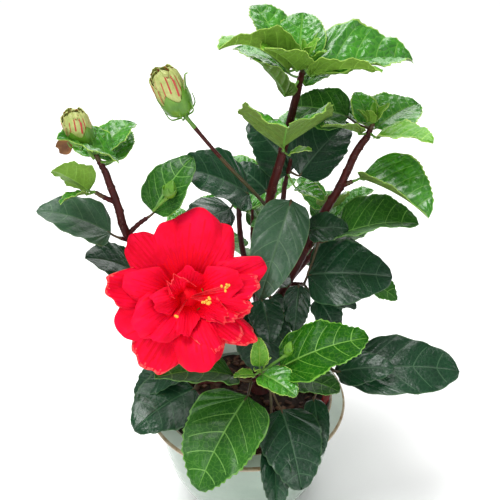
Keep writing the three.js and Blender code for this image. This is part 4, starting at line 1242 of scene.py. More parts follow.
YOUNG, BRIGHT, GROWN, LUSH = Age.YOUNG, Age.BRIGHT, Age.GROWN, Age.LUSH
OLD, GREY_SHEEN, WITHERED = Age.OLD, Age.GREY_SHEEN, Age.WITHERED
SHOOTS = (
    Shoot("top_shoot", "trunk", BRIGHT, ((37, 12, 378), (39, 11, 388), (40, 9, 396)), (2.6, 1.5), (
        leaf(28, 20, 396, 138, 46, 44, width=1.0),
        leaf(37, 20, 394, 82, 46, 38, width=1.0),
        leaf(29, 0, 393, -146, 25.5, 60, YOUNG, width=0.72, roll=-20, fold=30, arch=0.12, curl=0.05),
        leaf(35, -2, 394, -130, 33, 42, YOUNG, width=0.85),
        leaf(28, 5, 374, -145, 48, 42, width=0.7),
        leaf(46, 12, 390, 12, 2, 74, width=0.78, roll=-20, fold=30, wave=1.3),
        leaf(44, 0, 390, -29, 13, 52, YOUNG, width=0.6, roll=30, fold=10),
        leaf(42, 16, 378, 40, 12, 30),
        leaf(42, 10, 397, 20, 60, 17, YOUNG),
        leaf(38, 8, 398, -160, 62, 15, YOUNG),
        leaf(30, 26, 384, 150, 14, 46),
        leaf(46, 26, 384, 66, 16, 50),
    ), extras=(
        leaf(40, 6, 399, -60, 55, 13, YOUNG, width=0.6, fold=35),
        leaf(40, 12, 399, 100, 70, 12, YOUNG, width=0.5, fold=40),
        leaf(43, 5, 396, -20, 40, 16, YOUNG, width=0.62, fold=30),
    )),
    Shoot("upper_front_leaf", "trunk", BRIGHT, ((27, 8, 331), (27, 1, 334)), (2.0, 1.6), (
        leaf(27, 0, 338, -90, 32, 74, width=0.98, fold=28, wave=1.5),
        leaf(31, 1, 331, -20, 20, 18, YOUNG),
    )),
    Shoot("behind_right_shoot", "bough_behind_right", OLD, ((30, 31, 292), (33, 29, 308), (34, 28, 316)),
          (2.0, 1.3), (
        leaf(41, 24, 304, 31, 38, 56, width=0.85, fold=18, roll=-24),
        leaf(34, 31, 303, 159, 48, 50, width=0.8, roll=32),
        leaf(38, 15, 298, -30, -10, 24, BRIGHT, width=0.9),
        leaf(36, 38, 314, 85, 30, 46, BRIGHT),
    )),
    Shoot("behind_left_shoot", "bough_behind_left", OLD, ((-6, 27, 286), (-4, 26, 298), (-3, 25, 306)),
          (1.9, 1.3), (
        leaf(2, 14, 293, -155, 30, 66, width=0.8, roll=30, fold=10, teeth=0.5),
        leaf(16, 25, 290, 155, 30, 34, width=0.85, roll=15),
        leaf(6, 38, 298, 150, 26, 24, BRIGHT, width=0.95),
        leaf(-8, 34, 298, 165, 22, 30, width=0.8),
        leaf(-12, 18, 279, -155, -22, 50, width=0.8, roll=15),
    )),
    Shoot("right_shoot", "bough_right", BRIGHT, ((86, 0, 345), (88, 1, 350), (90, 2, 355)), (2.5, 1.5), (
        leaf(74, 16, 354, 160, 4, 44, GROWN, width=0.9, roll=28),
        leaf(81, -1, 348, -160, 18, 32, width=0.9, roll=-15),
        leaf(93, 10, 348, 34, 15, 42, width=1.0, roll=-16),
        leaf(92, -5, 347, -31, 8, 41, YOUNG, width=0.85),
        leaf(87, 9, 352, 115, 46, 25, width=0.95),
        leaf(92, 3, 356, 10, 55, 15, YOUNG),
        leaf(88, 0, 356, -120, 60, 13, YOUNG),
        leaf(90, 16, 346, 85, 10, 46),
    ), extras=(
        leaf(90, 5, 357, 80, 65, 12, YOUNG, width=0.5, fold=40),
        leaf(86, 3, 355, 170, 50, 12, YOUNG, width=0.55, fold=36),
    )),
    Shoot("right_side_leaf", "bough_right", BRIGHT, ((69, 0, 306), (78, -3, 312)), (2.2, 1.6), (
        leaf(83, -4, 315, -37, -14, 58, width=1.05, fold=38, wave=0.5),
    )),
    Shoot("middle_right_leaves", "bough_right", OLD, ((50, 2, 263), (57, -8, 264)), (2.0, 1.5), (
        leaf(68, -13, 272, -18, 20, 61, GROWN, width=0.92, fold=25, roll=-8, teeth=0.6),
        leaf(46, -12, 276, -5, 6, 30, width=0.9, roll=-25),
        leaf(47, -14, 238, -10, 5, 64, width=0.85, roll=-36, teeth=0.3),
    )),
    Shoot("right_low_leaves", "bough_right", OLD, ((33, 6, 217), (46, 2, 219)), (1.9, 1.5), (
        leaf(54, 1, 211, -18, -10, 36, width=0.75),
        leaf(56, -8, 212, -43, -50, 34, width=0.9),
        leaf(41, -10, 226, -100, -66, 38, width=0.55),
        leaf(54, 10, 242, 8, 8, 38, width=0.85),
    )),
    Shoot("middle_front_leaf", "trunk", GREY_SHEEN, ((16, 8, 280), (25, 0, 292)), (1.9, 1.5), (
        leaf(33, -10, 300, -118, -50, 76, width=0.52, roll=20, teeth=0.1),
    )),
    Shoot("inner_leaves", "trunk", OLD, ((12, 9, 222), (10, -6, 226), (8, -16, 227)), (2.2, 1.6), (
        leaf(12, -24, 222, -75, -42, 34, width=0.8),
        leaf(0, -22, 226, -150, -30, 46),
        leaf(20, -5, 212, -20, -60, 26, width=0.85),
        leaf(16, -12, 232, -60, 20, 30, width=0.8),
        leaf(13, -16, 206, -92, -62, 50, width=0.9),
    ), extras=(
        leaf(30, -14, 202, -100, -72, 19, WITHERED, width=0.5, fold=30, curl=0.3),
    )),
    Shoot("left_shoot", "bough_left", BRIGHT, ((-95, -35, 334), (-98, -36, 342), (-100, -37, 348)),
          (2.4, 1.4), (
        leaf(-100, -31, 345, 46, 24, 36, width=0.9),
        leaf(-86, -41, 346, -154, 32, 42, width=0.9, fold=22, roll=14),
        leaf(-102, -26, 341, 130, 22, 34),
        leaf(-92, -24, 337, 85, 18, 36),
        leaf(-101, -36, 349, 170, 60, 14, YOUNG),
    ), (
        Bud((-105, -44, 358), -130, 74, 25, 9, ((-101, -38, 345),), open_top=0.66, dry_bract=True),
    ), extras=(
        leaf(-98, -36, 350, 30, 62, 11, YOUNG, width=0.5, fold=40),
    )),
    Shoot("left_side_shoot", "bough_left", YOUNG, ((-90, -35, 311), (-97, -39, 317), (-102, -43, 323)),
          (2.0, 1.4), (
        leaf(-105, -45, 325, -170, 38, 28, width=1.2, roll=-56, wave=1.6),
        leaf(-106, -48, 324, -142, -2, 20, BRIGHT, width=1.05, roll=-20, wave=1.5),
    )),
    Shoot("left_inner_leaf", "bough_left", GROWN, ((-84, -35, 285), (-76, -34, 293), (-69, -33, 298)),
          (1.9, 1.5), (
        leaf(-65, -31, 301, 34, 46, 48, width=0.76, roll=-20, teeth=0.2),
    ), (
        Bud((-54, -36, 315), 20, 70, 13, 5, ((-65, -33, 303),), petals=False),
    )),
    Shoot("left_outer_leaf", "bough_left", GREY_SHEEN, ((-83, -34, 280), (-89, -36, 283)), (1.7, 1.4), (
        leaf(-95, -38, 288, -170, 26, 53, width=0.78, roll=18, teeth=0.3),
    )),
    Shoot("left_low_leaf", "bough_left", OLD, ((-66, -27, 248), (-76, -26, 249)), (1.8, 1.5), (
        leaf(-82, -26, 247, -145, 36, 46, width=0.9, roll=22, teeth=0.4),
    )),
    Shoot("low_front_shoot", "bough_low_front", BRIGHT, ((11, -64, 176), (11, -68, 184), (11, -71, 191)),
          (1.8, 1.2), (
        leaf(26, -67, 191, 3, 22, 68, LUSH, width=0.74, roll=-12, wave=1.2),
        leaf(12, -76, 192, -40, -6, 31, width=0.92),
        leaf(10, -72, 196, 97, 70, 22, YOUNG, width=0.65),
        leaf(6, -74, 190, -160, 10, 16, YOUNG),
    ), (
        Bud((30, -71, 206), 0, 80, 12, 3.5, ((12, -70, 190),), petals=False),
    ), extras=(
        leaf(13, -72, 194, 10, 62, 11, YOUNG, width=0.5, fold=36),
        leaf(9, -75, 193, -110, 45, 11, YOUNG, width=0.55, fold=32),
    )),
    Shoot("low_front_left_leaves", "bough_low_front", GROWN, ((12, -38, 157), (4, -46, 160)), (2.0, 1.6), (
        leaf(1, -62, 159, -126, -36, 78, width=0.84, teeth=1.15),
        leaf(-10, -54, 172, -153, 20, 66, GROWN, width=0.7, fold=15, teeth=0.4),
    )),
    Shoot("low_front_right_leaves", "bough_low_front", OLD, ((12, -42, 159), (19, -50, 158)), (2.0, 1.6), (
        leaf(27, -64, 147, -73, -36, 61, width=0.8),
        leaf(20, -84, 134, -84, -56, 52, width=0.52, fold=34),
        leaf(38, -46, 162, -30, 6, 38, GROWN, width=0.9),
    )),
    Shoot("low_left_leaves", "bough_low_left", OLD, ((-34, -19, 136), (-41, -22, 137)), (1.8, 1.4), (
        leaf(-43, -25, 134, -139, -7, 60, width=0.98, roll=12, teeth=0.7),
        leaf(-56, -12, 144, -152, -16, 42, width=0.85),
    )),
    Shoot("low_right_leaves", "bough_low_right", OLD, ((60, -24, 160), (65, -28, 162)), (2.0, 1.6), (
        leaf(70, -34, 160, -2, 2, 99, width=0.52, roll=-24, roundness=0.95, teeth=0.25),
        leaf(53, -52, 147, -84, -34, 44, width=0.44, teeth=0.4),
        leaf(72, -42, 166, -14, 16, 44, width=0.66, roll=-26, teeth=0.4),
    )),
    Shoot("back_left_shoot", "bough_back_left", GROWN, ((-46, 54, 203), (-48, 56, 214), (-49, 58, 224)),
          (2.0, 1.2), spiral=Spiral(11, 100, (56, 34), (-18, 45), -34, 11)),
    Shoot("back_right_shoot", "bough_back_right", GROWN, ((62, 50, 235), (65, 52, 245), (67, 54, 254)),
          (2.0, 1.2), spiral=Spiral(11, -20, (56, 34), (-15, 45), -34, 23)),
    Shoot("back_shoot", "bough_back", GROWN, ((5, 76, 222), (5, 79, 234), (5, 81, 246)),
          (1.9, 1.2), spiral=Spiral(12, 90, (54, 34), (-20, 45), -40, 37)),
)


@dataclass(frozen=True)
class SpiralRule:
    """How a spiral sets its leaves out, and how much room each of them needs."""

    azimuth_scatter: float = 24.0
    rise_scatter: float = 16.0
    size_scatter: float = 0.2
    stalk_rise: tuple[float, float] = (10.0, 60.0)
    stalk_reach: float = 0.34
    stem_part: tuple[float, float] = (0.1, 0.95)
    bright_from: float = 0.7  # leaves above this share of the stem are young and bright
    clearance: float = 9.0
    roundness: float = 0.62
    along: tuple[float, ...] = (0.0, 0.25, 0.5, 0.75, 1.0)
    across: tuple[float, ...] = (-0.9, 0.0, 0.9)

    def leaves(self, shoot: Shoot) -> list[Leaf]:
        """Returns every leaf that the spiral of a shoot would bear.

        Args:
            shoot: one that has a spiral.

        Returns:
            Its leaves, from the lowest to the top one.
        """
        spiral = shoot.spiral
        random = SeededRandom(spiral.seed)
        found = []
        for number in range(spiral.count):
            share = number / (spiral.count - 1)
            azimuth = spiral.start + number * GOLDEN_ANGLE + random.scatter(self.azimuth_scatter)
            size = lerp(*spiral.length, share) * (1 + random.scatter(self.size_scatter))
            tilt = lerp(*spiral.rise, share) + random.scatter(self.rise_scatter)
            stalk = direction(azimuth, lerp(*self.stalk_rise, share)) * size * self.stalk_reach
            root = curve_at(shoot.stem, [lerp(*self.stem_part, share)])[0]
            base = root + stalk + UP * spiral.low * (1 - share)
            age = BRIGHT if share > self.bright_from else shoot.age
            found.append(Leaf(tuple(base), azimuth, tilt, size, age=age))
        return found

    def samples(self, spec: Leaf) -> Array:
        """Spreads places over a leaf's blade, to measure how near others come.

        Args:
            spec: the leaf, settled.

        Returns:
            The places.
        """
        along, side, _ = spec.axes()
        half = spec.width * spec.length / 2
        widths = [float(LARGE_BLADE.outline(np.array(lerp(0.05, 0.95, u)), self.roundness))
                  for u in self.along]
        return np.array([
            np.array(spec.base) + along * u * spec.length + side * v * half * width
            for u, width in zip(self.along, widths) for v in self.across
        ])


@dataclass
class Foliage:
    """Every leaf of the plant with its stalk, the stems they stand on and the small buds."""

    shoots: tuple[Shoot, ...] = SHOOTS
    rule: SpiralRule = SpiralRule()
    stalks: Stalks = Stalks()
    most_faces: int = 90000  # of one piece
    seeds: tuple[int, int] = (101, 37)  # the first leaf's seed, and the step to the next

    def settle(self) -> dict[str, list[Leaf]]:
        """Decides all leaves: those with places of their own, then the spirals where there is room.

        Returns:
            The settled leaves of each shoot.
        """
        leaves = {s.name: [spec.settled(s.age) for spec in s.leaves] for s in self.shoots}
        taken = [(limb.name, smooth_curve(limb.points, 14)) for limb in LIMBS]
        for shoot in self.shoots:
            taken += [(shoot.name, self.rule.samples(spec)) for spec in leaves[shoot.name]]
        for shoot in self.shoots:
            if not shoot.spiral:
                continue
            for spec in (found.settled(shoot.age) for found in self.rule.leaves(shoot)):
                points = self.rule.samples(spec)
                others = np.vstack([
                    places for owner, places in taken if owner not in (shoot.name, shoot.on)])
                gaps = np.linalg.norm(points[:, None, :] - others[None, :, :], axis=2)
                if gaps.min() > self.rule.clearance:
                    leaves[shoot.name].append(spec)
                    taken.append((shoot.name, points))
        for shoot in self.shoots:
            leaves[shoot.name] += [spec.settled(shoot.age) for spec in shoot.extras]
        return leaves

    def build(self, effects: SharedEffects) -> None:
        """Makes the leaf pieces, the stalks and the buds.

        Args:
            effects: the shared node groups.
        """
        leaves = self.settle()
        names = [shoot.name for shoot in self.shoots]
        finishes = [finish for age in AGE_ORDER for finish in AGES[age].finishes()]
        wood = Shell()
        buds = Shell()
        for fresh, slot in ((True, "young_foliage"), (False, "old_foliage")):
            specs = [spec for name in names for spec in leaves[name] if (spec.age in FRESH) == fresh]
            shells = [Shell()]
            for number, spec in enumerate(specs):
                if len(shells[-1].faces) > self.most_faces:
                    shells.append(Shell())
                blade = SMALL_BLADE if spec.length < SMALL_LEAF else LARGE_BLADE
                blade.grow(shells[-1], spec, self.seeds[0] + self.seeds[1] * number)
            for number, shell in enumerate(shells, 1):
                made = shell.piece(f"{slot.removesuffix('_foliage')}_leaves_{number}", finishes, effects)
                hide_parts(*names)
        for shoot in self.shoots:
            shoot.grow_stem(wood)
            for spec in leaves[shoot.name]:
                self.stalks.grow(wood, shoot.stem, spec)
            for bud in shoot.buds:
                bud.grow(buds, wood)
        TALL_BUD.grow(buds, wood)
        made = wood.piece("leaf_stalks", STALK_FINISHES, effects)
        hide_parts(*names)
        made = buds.piece("buds", BUD_FINISHES, effects)
        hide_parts(TALL_BUD_NODE)


# ---------- the bloom


class PetalLook(Enum):
    """How crumpled a petal is."""

    SMOOTH = 0.5
    PLEATED = 1.0
    CRUMPLED = 1.7


PETAL_RED = Finish("petal", (0.93, 0.0035, 0.046), (0.76, 0.0012, 0.022), 60.0, roughness=(0.55, 0.68),
                   specular=0.06, sheen=0.03, subsurface=0.12, relief=(900.0, 0.15))
PETAL_WARM = Finish("petal_inner_part", (0.90, 0.0015, 0.020), (0.82, 0.001, 0.012), 110.0,
                    roughness=(0.55, 0.65), specular=0.08, subsurface=0.12, relief=(900.0, 0.15))
# The throat: the flower's own deeper red, made darker there as painted shade of the throat.
PETAL_THROAT_RED_AND_SHADE = Finish("petal_throat_red_and_shade", (0.80, 0.001, 0.008), (0.68, 0.001, 0.005), 120.0, roughness=(0.5, 0.6),
                    specular=0.08, relief=(900.0, 0.12))
# Lines along the petals: the veins, darkened further as painted shade of the pleats.
PETAL_VEIN_AND_PLEAT_SHADE = Finish("petal_vein_and_pleat_shade", (0.80, 0.001, 0.024), (0.72, 0.001, 0.016), 160.0, roughness=(0.55, 0.65),
                    specular=0.08, relief=(900.0, 0.12))
PETAL_EDGE = Finish("petal_edge", (0.92, 0.115, 0.10), (0.88, 0.008, 0.034), 480.0, roughness=(0.5, 0.62),
                    specular=0.12, sheen=0.03, relief=(700.0, 0.4))
PETAL_BACK = Finish("petal_back", (0.76, 0.007, 0.03), (0.62, 0.003, 0.02), 110.0, roughness=(0.55, 0.65),
                    specular=0.10, sheen=0.03, relief=(700.0, 0.2))
PETAL_FINISHES = [PETAL_RED, PETAL_WARM, PETAL_THROAT_RED_AND_SHADE, PETAL_VEIN_AND_PLEAT_SHADE, PETAL_EDGE, PETAL_BACK]
ANTHER = Finish("anther", (0.90, 0.52, 0.06), (0.78, 0.38, 0.03), 900.0, roughness=(0.6, 0.7),
                relief=(2500.0, 0.5))
FILAMENT = Finish("filament", (0.80, 0.03, 0.05), (0.66, 0.01, 0.02), 500.0, roughness=(0.45, 0.55),
                  relief=(900.0, 0.1))
RED, WARM, THROAT_RED_AND_SHADE, LINE, EDGE, BACK = range(6)
# Each group of anthers: to the right, up and out of the bloom's middle, how many, and how far apart.
ANTHER_GROUPS = ((12.0, -3.0, 11.0, 9, 3.2), (24.0, 4.5, 15.0, 7, 3.4), (-9.0, -13.0, 15.0, 2, 1.5))


@dataclass(frozen=True)
class Petal:
    """One petal. turn is anticlockwise from the right, reach from the middle, lift towards the front."""

    turn: float
    reach: float
    width: float
    lift: float = 0.0
    look: PetalLook = PetalLook.SMOOTH
    recurve: float = 0.05  # how far the tip bends back, as a share of the length
    bend: float = 0.0  # how far the tip swings to the left of travel, as a share of the length
    roll: float = 0.0  # degrees


PLAIN, PLEATED, CRUMPLED = PetalLook.SMOOTH, PetalLook.PLEATED, PetalLook.CRUMPLED
PETALS = (
    Petal(81, 61, 54, -4, PLAIN, 0.08), Petal(107, 55, 40, -8, PLAIN, 0.04, 0.05),
    Petal(56, 56, 40, -5, PLAIN, 0.10, -0.05), Petal(134, 59, 36, -10, PLEATED, 0.03, 0.04),
    Petal(176, 59, 34, -2, CRUMPLED, -0.08, 0.08), Petal(-160, 52, 46, -1, PLAIN, 0.06),
    Petal(-128, 56, 44, -3, CRUMPLED, 0.10, -0.04), Petal(-81, 50, 42, 3, PLAIN, 0.12),
    Petal(24, 57, 32, -2, PLEATED, 0.10, 0.06), Petal(6, 47, 26, 2, CRUMPLED, 0.12),
    Petal(-31, 54, 24, -3, CRUMPLED, 0.16, 0.10), Petal(-47, 43, 26, 1, CRUMPLED, 0.10, -0.08),
    Petal(-156, 39, 36, 8, PLAIN, 0.08), Petal(-12, 42, 24, 3, CRUMPLED, 0.05, 0.06),
    Petal(163, 43, 30, 4, PLAIN, 0.06),
)
INNER_PETALS = (
    Petal(-60, 39, 22, 5, CRUMPLED, 0.10, 0.08), Petal(-128, 36, 26, 6, PLAIN, 0.06, 0.04),
    Petal(14, 36, 30, 6, PLAIN, 0.02, -0.05), Petal(-24, 33, 18, 8, CRUMPLED, 0.08, 0.05),
    Petal(-42, 33, 16, 7, CRUMPLED, -0.10, -0.10), Petal(148, 20, 17, 13, CRUMPLED, -0.10, 0.15, 25),
    Petal(-4, 40, 16, 8, CRUMPLED, 0.10, 0.12), Petal(-172, 24, 20, 8, PLAIN, 0.02),
    Petal(-100, 25, 20, 4, PLEATED, 0.0), Petal(78, 20, 24, -5, PLAIN, 0.0),
)


@dataclass
class Bloom:
    """The large double bloom: petals round the throat, anthers among them, a calyx and a stalk."""

    centre: Point = (-39, -75, 259)
    azimuth: float = -84.0
    rise: float = 34.0
    throat: float = 24.0
    claw: float = 5.0  # the radius of the ring the petals stand on
    thickness: float = 0.55
    arch: float = 0.08
    ruffle: float = 2.0
    ruffle_waves: float = 3.0
    ruffle_turn: float = 2.1
    shoulder: float = 0.50  # how far a petal's corners stand back from its tip
    rows: int = 32
    columns: int = 45
    stalk: tuple[Point, ...] = ((-34, -8, 200), (-42, -22, 222), (-43, -40, 238))
    calyx_depth: float = 12.0  # from the throat back to the calyx

    def axes(self) -> Axes:
        """Returns the bloom's directions: out of its face, to its right and to its top."""
        facing = direction(self.azimuth, self.rise)
        right = unit(np.cross(UP, facing))
        return facing, right, np.cross(facing, right)

    def grow_petal(self, shell: Shell, petal: Petal, number: int) -> None:
        """Adds one petal to a shell.

        Args:
            shell: takes the petal.
            petal: its place and its look.
            number: sets how its edge runs.
        """
        facing, right, top_way = self.axes()
        turn = math.radians(petal.turn)
        outward = right * math.cos(turn) + top_way * math.sin(turn)
        base = np.array(self.centre) - facing * self.throat + outward * self.claw
        reach = outward * (petal.reach - self.claw) + facing * (self.throat + petal.lift)
        length = float(np.linalg.norm(reach))
        along = reach / length
        level = unit(np.cross(along, facing))
        upright = np.cross(level, along)
        roll = math.radians(petal.roll)
        side = level * math.cos(roll) + upright * math.sin(roll)
        normal = upright * math.cos(roll) - level * math.sin(roll)
        random = SeededRandom(900 + 53 * number)
        phase = [random.next() * 6.28 for _ in range(6)]
        u = np.linspace(0, 1, self.rows)[:, None]
        v = np.linspace(-1, 1, self.columns)[None, :]
        crumple = petal.look.value
        spread = 0.13 + 0.87 * np.sin(math.pi / 2 * np.minimum(1, 1.10 * u)) ** 1.25
        ripple = 0.024 * np.sin(4.5 * v + phase[3]) + 0.012 * np.sin(10 * v + phase[4])
        corners = self.shoulder * np.abs(v) ** (2.2 + 0.3 * math.sin(phase[5])) * u**1.6
        forward = length * u * (1 - corners + (0.7 + 0.5 * crumple) * ripple * u**5)
        sway = petal.bend * length * u**2
        sideways = petal.width / 2 * spread * v + sway - 0.012 * length * np.sin(4 * u + phase[2])
        pleats = np.sin(26 * v + 2.0 * np.sin(3 * u + phase[1])) * u * (1.25 - u)
        lift = (self.arch * length * 4 * u * (1 - u)
                + self.ruffle * u**2 * np.sin(v * self.ruffle_waves + number * self.ruffle_turn)
                + (1.3 + 0.9 * crumple) * u**3 * np.sin(6.5 * v + phase[3])
                + (0.2 + 0.5 * crumple) * u**8 * np.sin(17 * v + phase[4])
                + 1.1 * crumple * np.abs(v) ** 3 * u * np.sin(8 * u + phase[4] + v)
                + (0.30 + 0.26 * crumple) * pleats
                + 0.9 * max(0.0, crumple - 1) * u**2 * np.sin(17 * u + 9 * v + phase[2])
                - petal.recurve * length * np.clip(u - 0.66, 0, 1) ** 2 / 0.1156)
        top = base + forward[..., None] * along + sideways[..., None] * side + lift[..., None] * normal
        slots = self.petal_slots(petal, u[:-1, 0], phase[0])
        rim = EDGE if petal.look is CRUMPLED else RED
        shell.sheet(top, top - normal * self.thickness, slots, BACK, rim)

    def petal_slots(self, petal: Petal, u: Array, phase: float) -> Array:
        """Deals out the finishes over a petal: a deeper red in the throat, partly the flower's own red and
        partly painted shade, darker lines along it that are veins and painted shade of the pleats, and a
        pale crumpled edge.

        Args:
            petal: its look.
            u: the rows' places along it.
            phase: shifts where the finishes meet.

        Returns:
            The slots, rows by columns.
        """
        slots = np.full((len(u), self.columns - 1), RED)
        bar, line_end = (0.45, 0.76) if petal.look is PLAIN else (0.3, 0.92)
        for column in range(self.columns - 1):
            jump = 0.05 * math.sin(2.3 * column + phase) + 0.04 * math.sin(5.1 * column)
            slots[u < 0.50 + jump, column] = WARM
            # lines along the petal: veins, and painted shade of the pleats
            if math.sin(4.7 * column + 3 * phase) > bar:
                slots[(u > 0.3) & (u < line_end + 2.5 * jump), column] = LINE
            # the throat's deeper red, partly painted shade
            slots[u < 0.26 + 1.5 * jump, column] = THROAT_RED_AND_SHADE
            if petal.look is CRUMPLED:
                near = min(column, self.columns - 2 - column)
                slots[u > 0.955 + 0.3 * jump - 0.05 * max(0, 3 - near), column] = EDGE
        return slots

    def grow_anthers(self, shell: Shell) -> None:
        """Adds the filaments and their anthers, a few of them long enough to show among the petals.

        Args:
            shell: takes them, with the slots anther and filament.
        """
        facing, right, top_way = self.axes()
        centre = np.array(self.centre)
        foot = centre - facing * self.throat
        random = SeededRandom(77)
        lumps = 0.14 * np.sin(np.arange(7)[:, None] * 2.3 + np.arange(8)[None, :] * 2.0)
        for x, y, z, count, spread in ANTHER_GROUPS:
            for _ in range(count):
                tip = (centre + right * (x + random.scatter(2 * spread))
                       + top_way * (y + random.scatter(1.4 * spread)) + facing * (z + random.scatter(3.0)))
                bend = lerp(foot, tip, 0.55) + facing * 6 + right * random.scatter(3.0)
                line = smooth_curve(np.array([foot, bend, tip]), 12)
                shell.tube(line, np.linspace(0.42, 0.22, 13), 6, 1)
                bead = line[-1] + np.outer(np.linspace(-0.7, 0.9, 7), unit(line[-1] - line[-2]))
                shell.tube(bead, np.array([0.3, 0.75, 0.98, 1.02, 0.9, 0.65, 0.25]), 8, 0, lumps)

    def grow_back(self, shell: Shell, wood: Shell) -> None:
        """Adds the calyx behind the petals and the stalk.

        Args:
            shell: takes the calyx.
            wood: takes the stalk.
        """
        facing = self.axes()[0]
        base = tuple(np.array(self.centre) - facing * (self.throat + self.calyx_depth))
        calyx = Bud(base, self.azimuth, self.rise, 34, 11.5, self.stalk, stalk_radius=1.9, joint=20.0,
                    cup=0.72)
        calyx.grow_cup(shell)
        calyx.grow_bracts(shell)
        calyx.grow_stalk(wood)

    def build(self, effects: SharedEffects) -> None:
        """Makes the pieces of the bloom.

        Args:
            effects: the shared node groups.
        """
        petals, anthers, cup, wood = Shell(), Shell(), Shell(), Shell()
        for number, petal in enumerate(PETALS + INNER_PETALS):
            self.grow_petal(petals, petal, number)
        foot = np.array(self.centre) - self.axes()[0] * self.throat
        funnel = foot + np.outer(np.linspace(-1.0, 7.0, 8), self.axes()[0])
        petals.tube(funnel, np.array([5.0, 7.6, 8.4, 8.2, 7.4, 6.0, 4.0, 1.2]), 24, WARM)
        self.grow_anthers(anthers)
        self.grow_back(cup, wood)
        made = petals.piece("petals", PETAL_FINISHES, effects, 75.0)
        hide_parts("bloom")
        made = anthers.piece("anthers", [ANTHER, FILAMENT], effects)
        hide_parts("bloom")
        made = cup.piece("bloom_calyx", BUD_FINISHES, effects)
        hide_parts("bloom")
        made = wood.piece("bloom_stalk", STALK_FINISHES, effects)
        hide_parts("bloom")


# ---------- pot and soil


POT_FINISHES = (
    Finish("celadon_glaze", (0.33, 0.42, 0.345), (0.28, 0.37, 0.30), 26.0, roughness=(0.16, 0.26), coat=0.5,
           coat_roughness=0.08, relief=(90.0, 0.12), speck=(0.40, 0.38, 0.27), speck_scale=210.0,
           speck_size=0.07),
    # The lip: the body's celadon made far paler, which is painted light on a lip that the leaves shade.
    Finish("celadon_lip_painted_light", (0.78, 0.88, 0.80), (0.70, 0.80, 0.72), 34.0, roughness=(0.16, 0.26),
           coat=0.5, coat_roughness=0.08, relief=(90.0, 0.12), speck=(0.46, 0.42, 0.30),
           speck_scale=230.0, speck_size=0.06),
    Finish("pot_iron_line", (0.34, 0.24, 0.13), (0.52, 0.45, 0.31), 150.0, roughness=(0.25, 0.4), coat=0.3,
           relief=(300.0, 0.2)),
    Finish("pot_bare_clay", (0.47, 0.33, 0.22), (0.39, 0.26, 0.17), 80.0, roughness=(0.7, 0.85),
           relief=(900.0, 0.5)),
)
GLAZE, LIP_PAINTED_LIGHT, IRON_LINE, BARE_CLAY = range(4)
# The compost's and the chips' own dark browns, darkened further as painted shade of the leaves above.
SOIL = Finish("compost_with_painted_shade", (0.030, 0.013, 0.008), (0.013, 0.007, 0.005), 160.0, roughness=(0.75, 0.95),
              specular=0.3, relief=(420.0, 0.9))
CHIP = Finish("bark_chip", (0.095, 0.034, 0.016), (0.036, 0.015, 0.009), 190.0, roughness=(0.6, 0.8),
              specular=0.3, relief=(500.0, 0.7))
PALE_CHIP = Finish("pale_bark_chip", (0.17, 0.085, 0.042), (0.10, 0.045, 0.022), 190.0, roughness=(0.6, 0.8),
                   specular=0.3, relief=(500.0, 0.7))
FALLEN_RED = Finish("fallen_petal", (0.42, 0.006, 0.010), (0.22, 0.004, 0.008), 160.0, roughness=(0.45, 0.6),
                    specular=0.2, relief=(600.0, 0.4))
FALLEN_EDGE = Finish("fallen_petal_edge", (0.24, 0.010, 0.010), (0.10, 0.008, 0.007), 260.0,
                     roughness=(0.5, 0.7), relief=(600.0, 0.4))


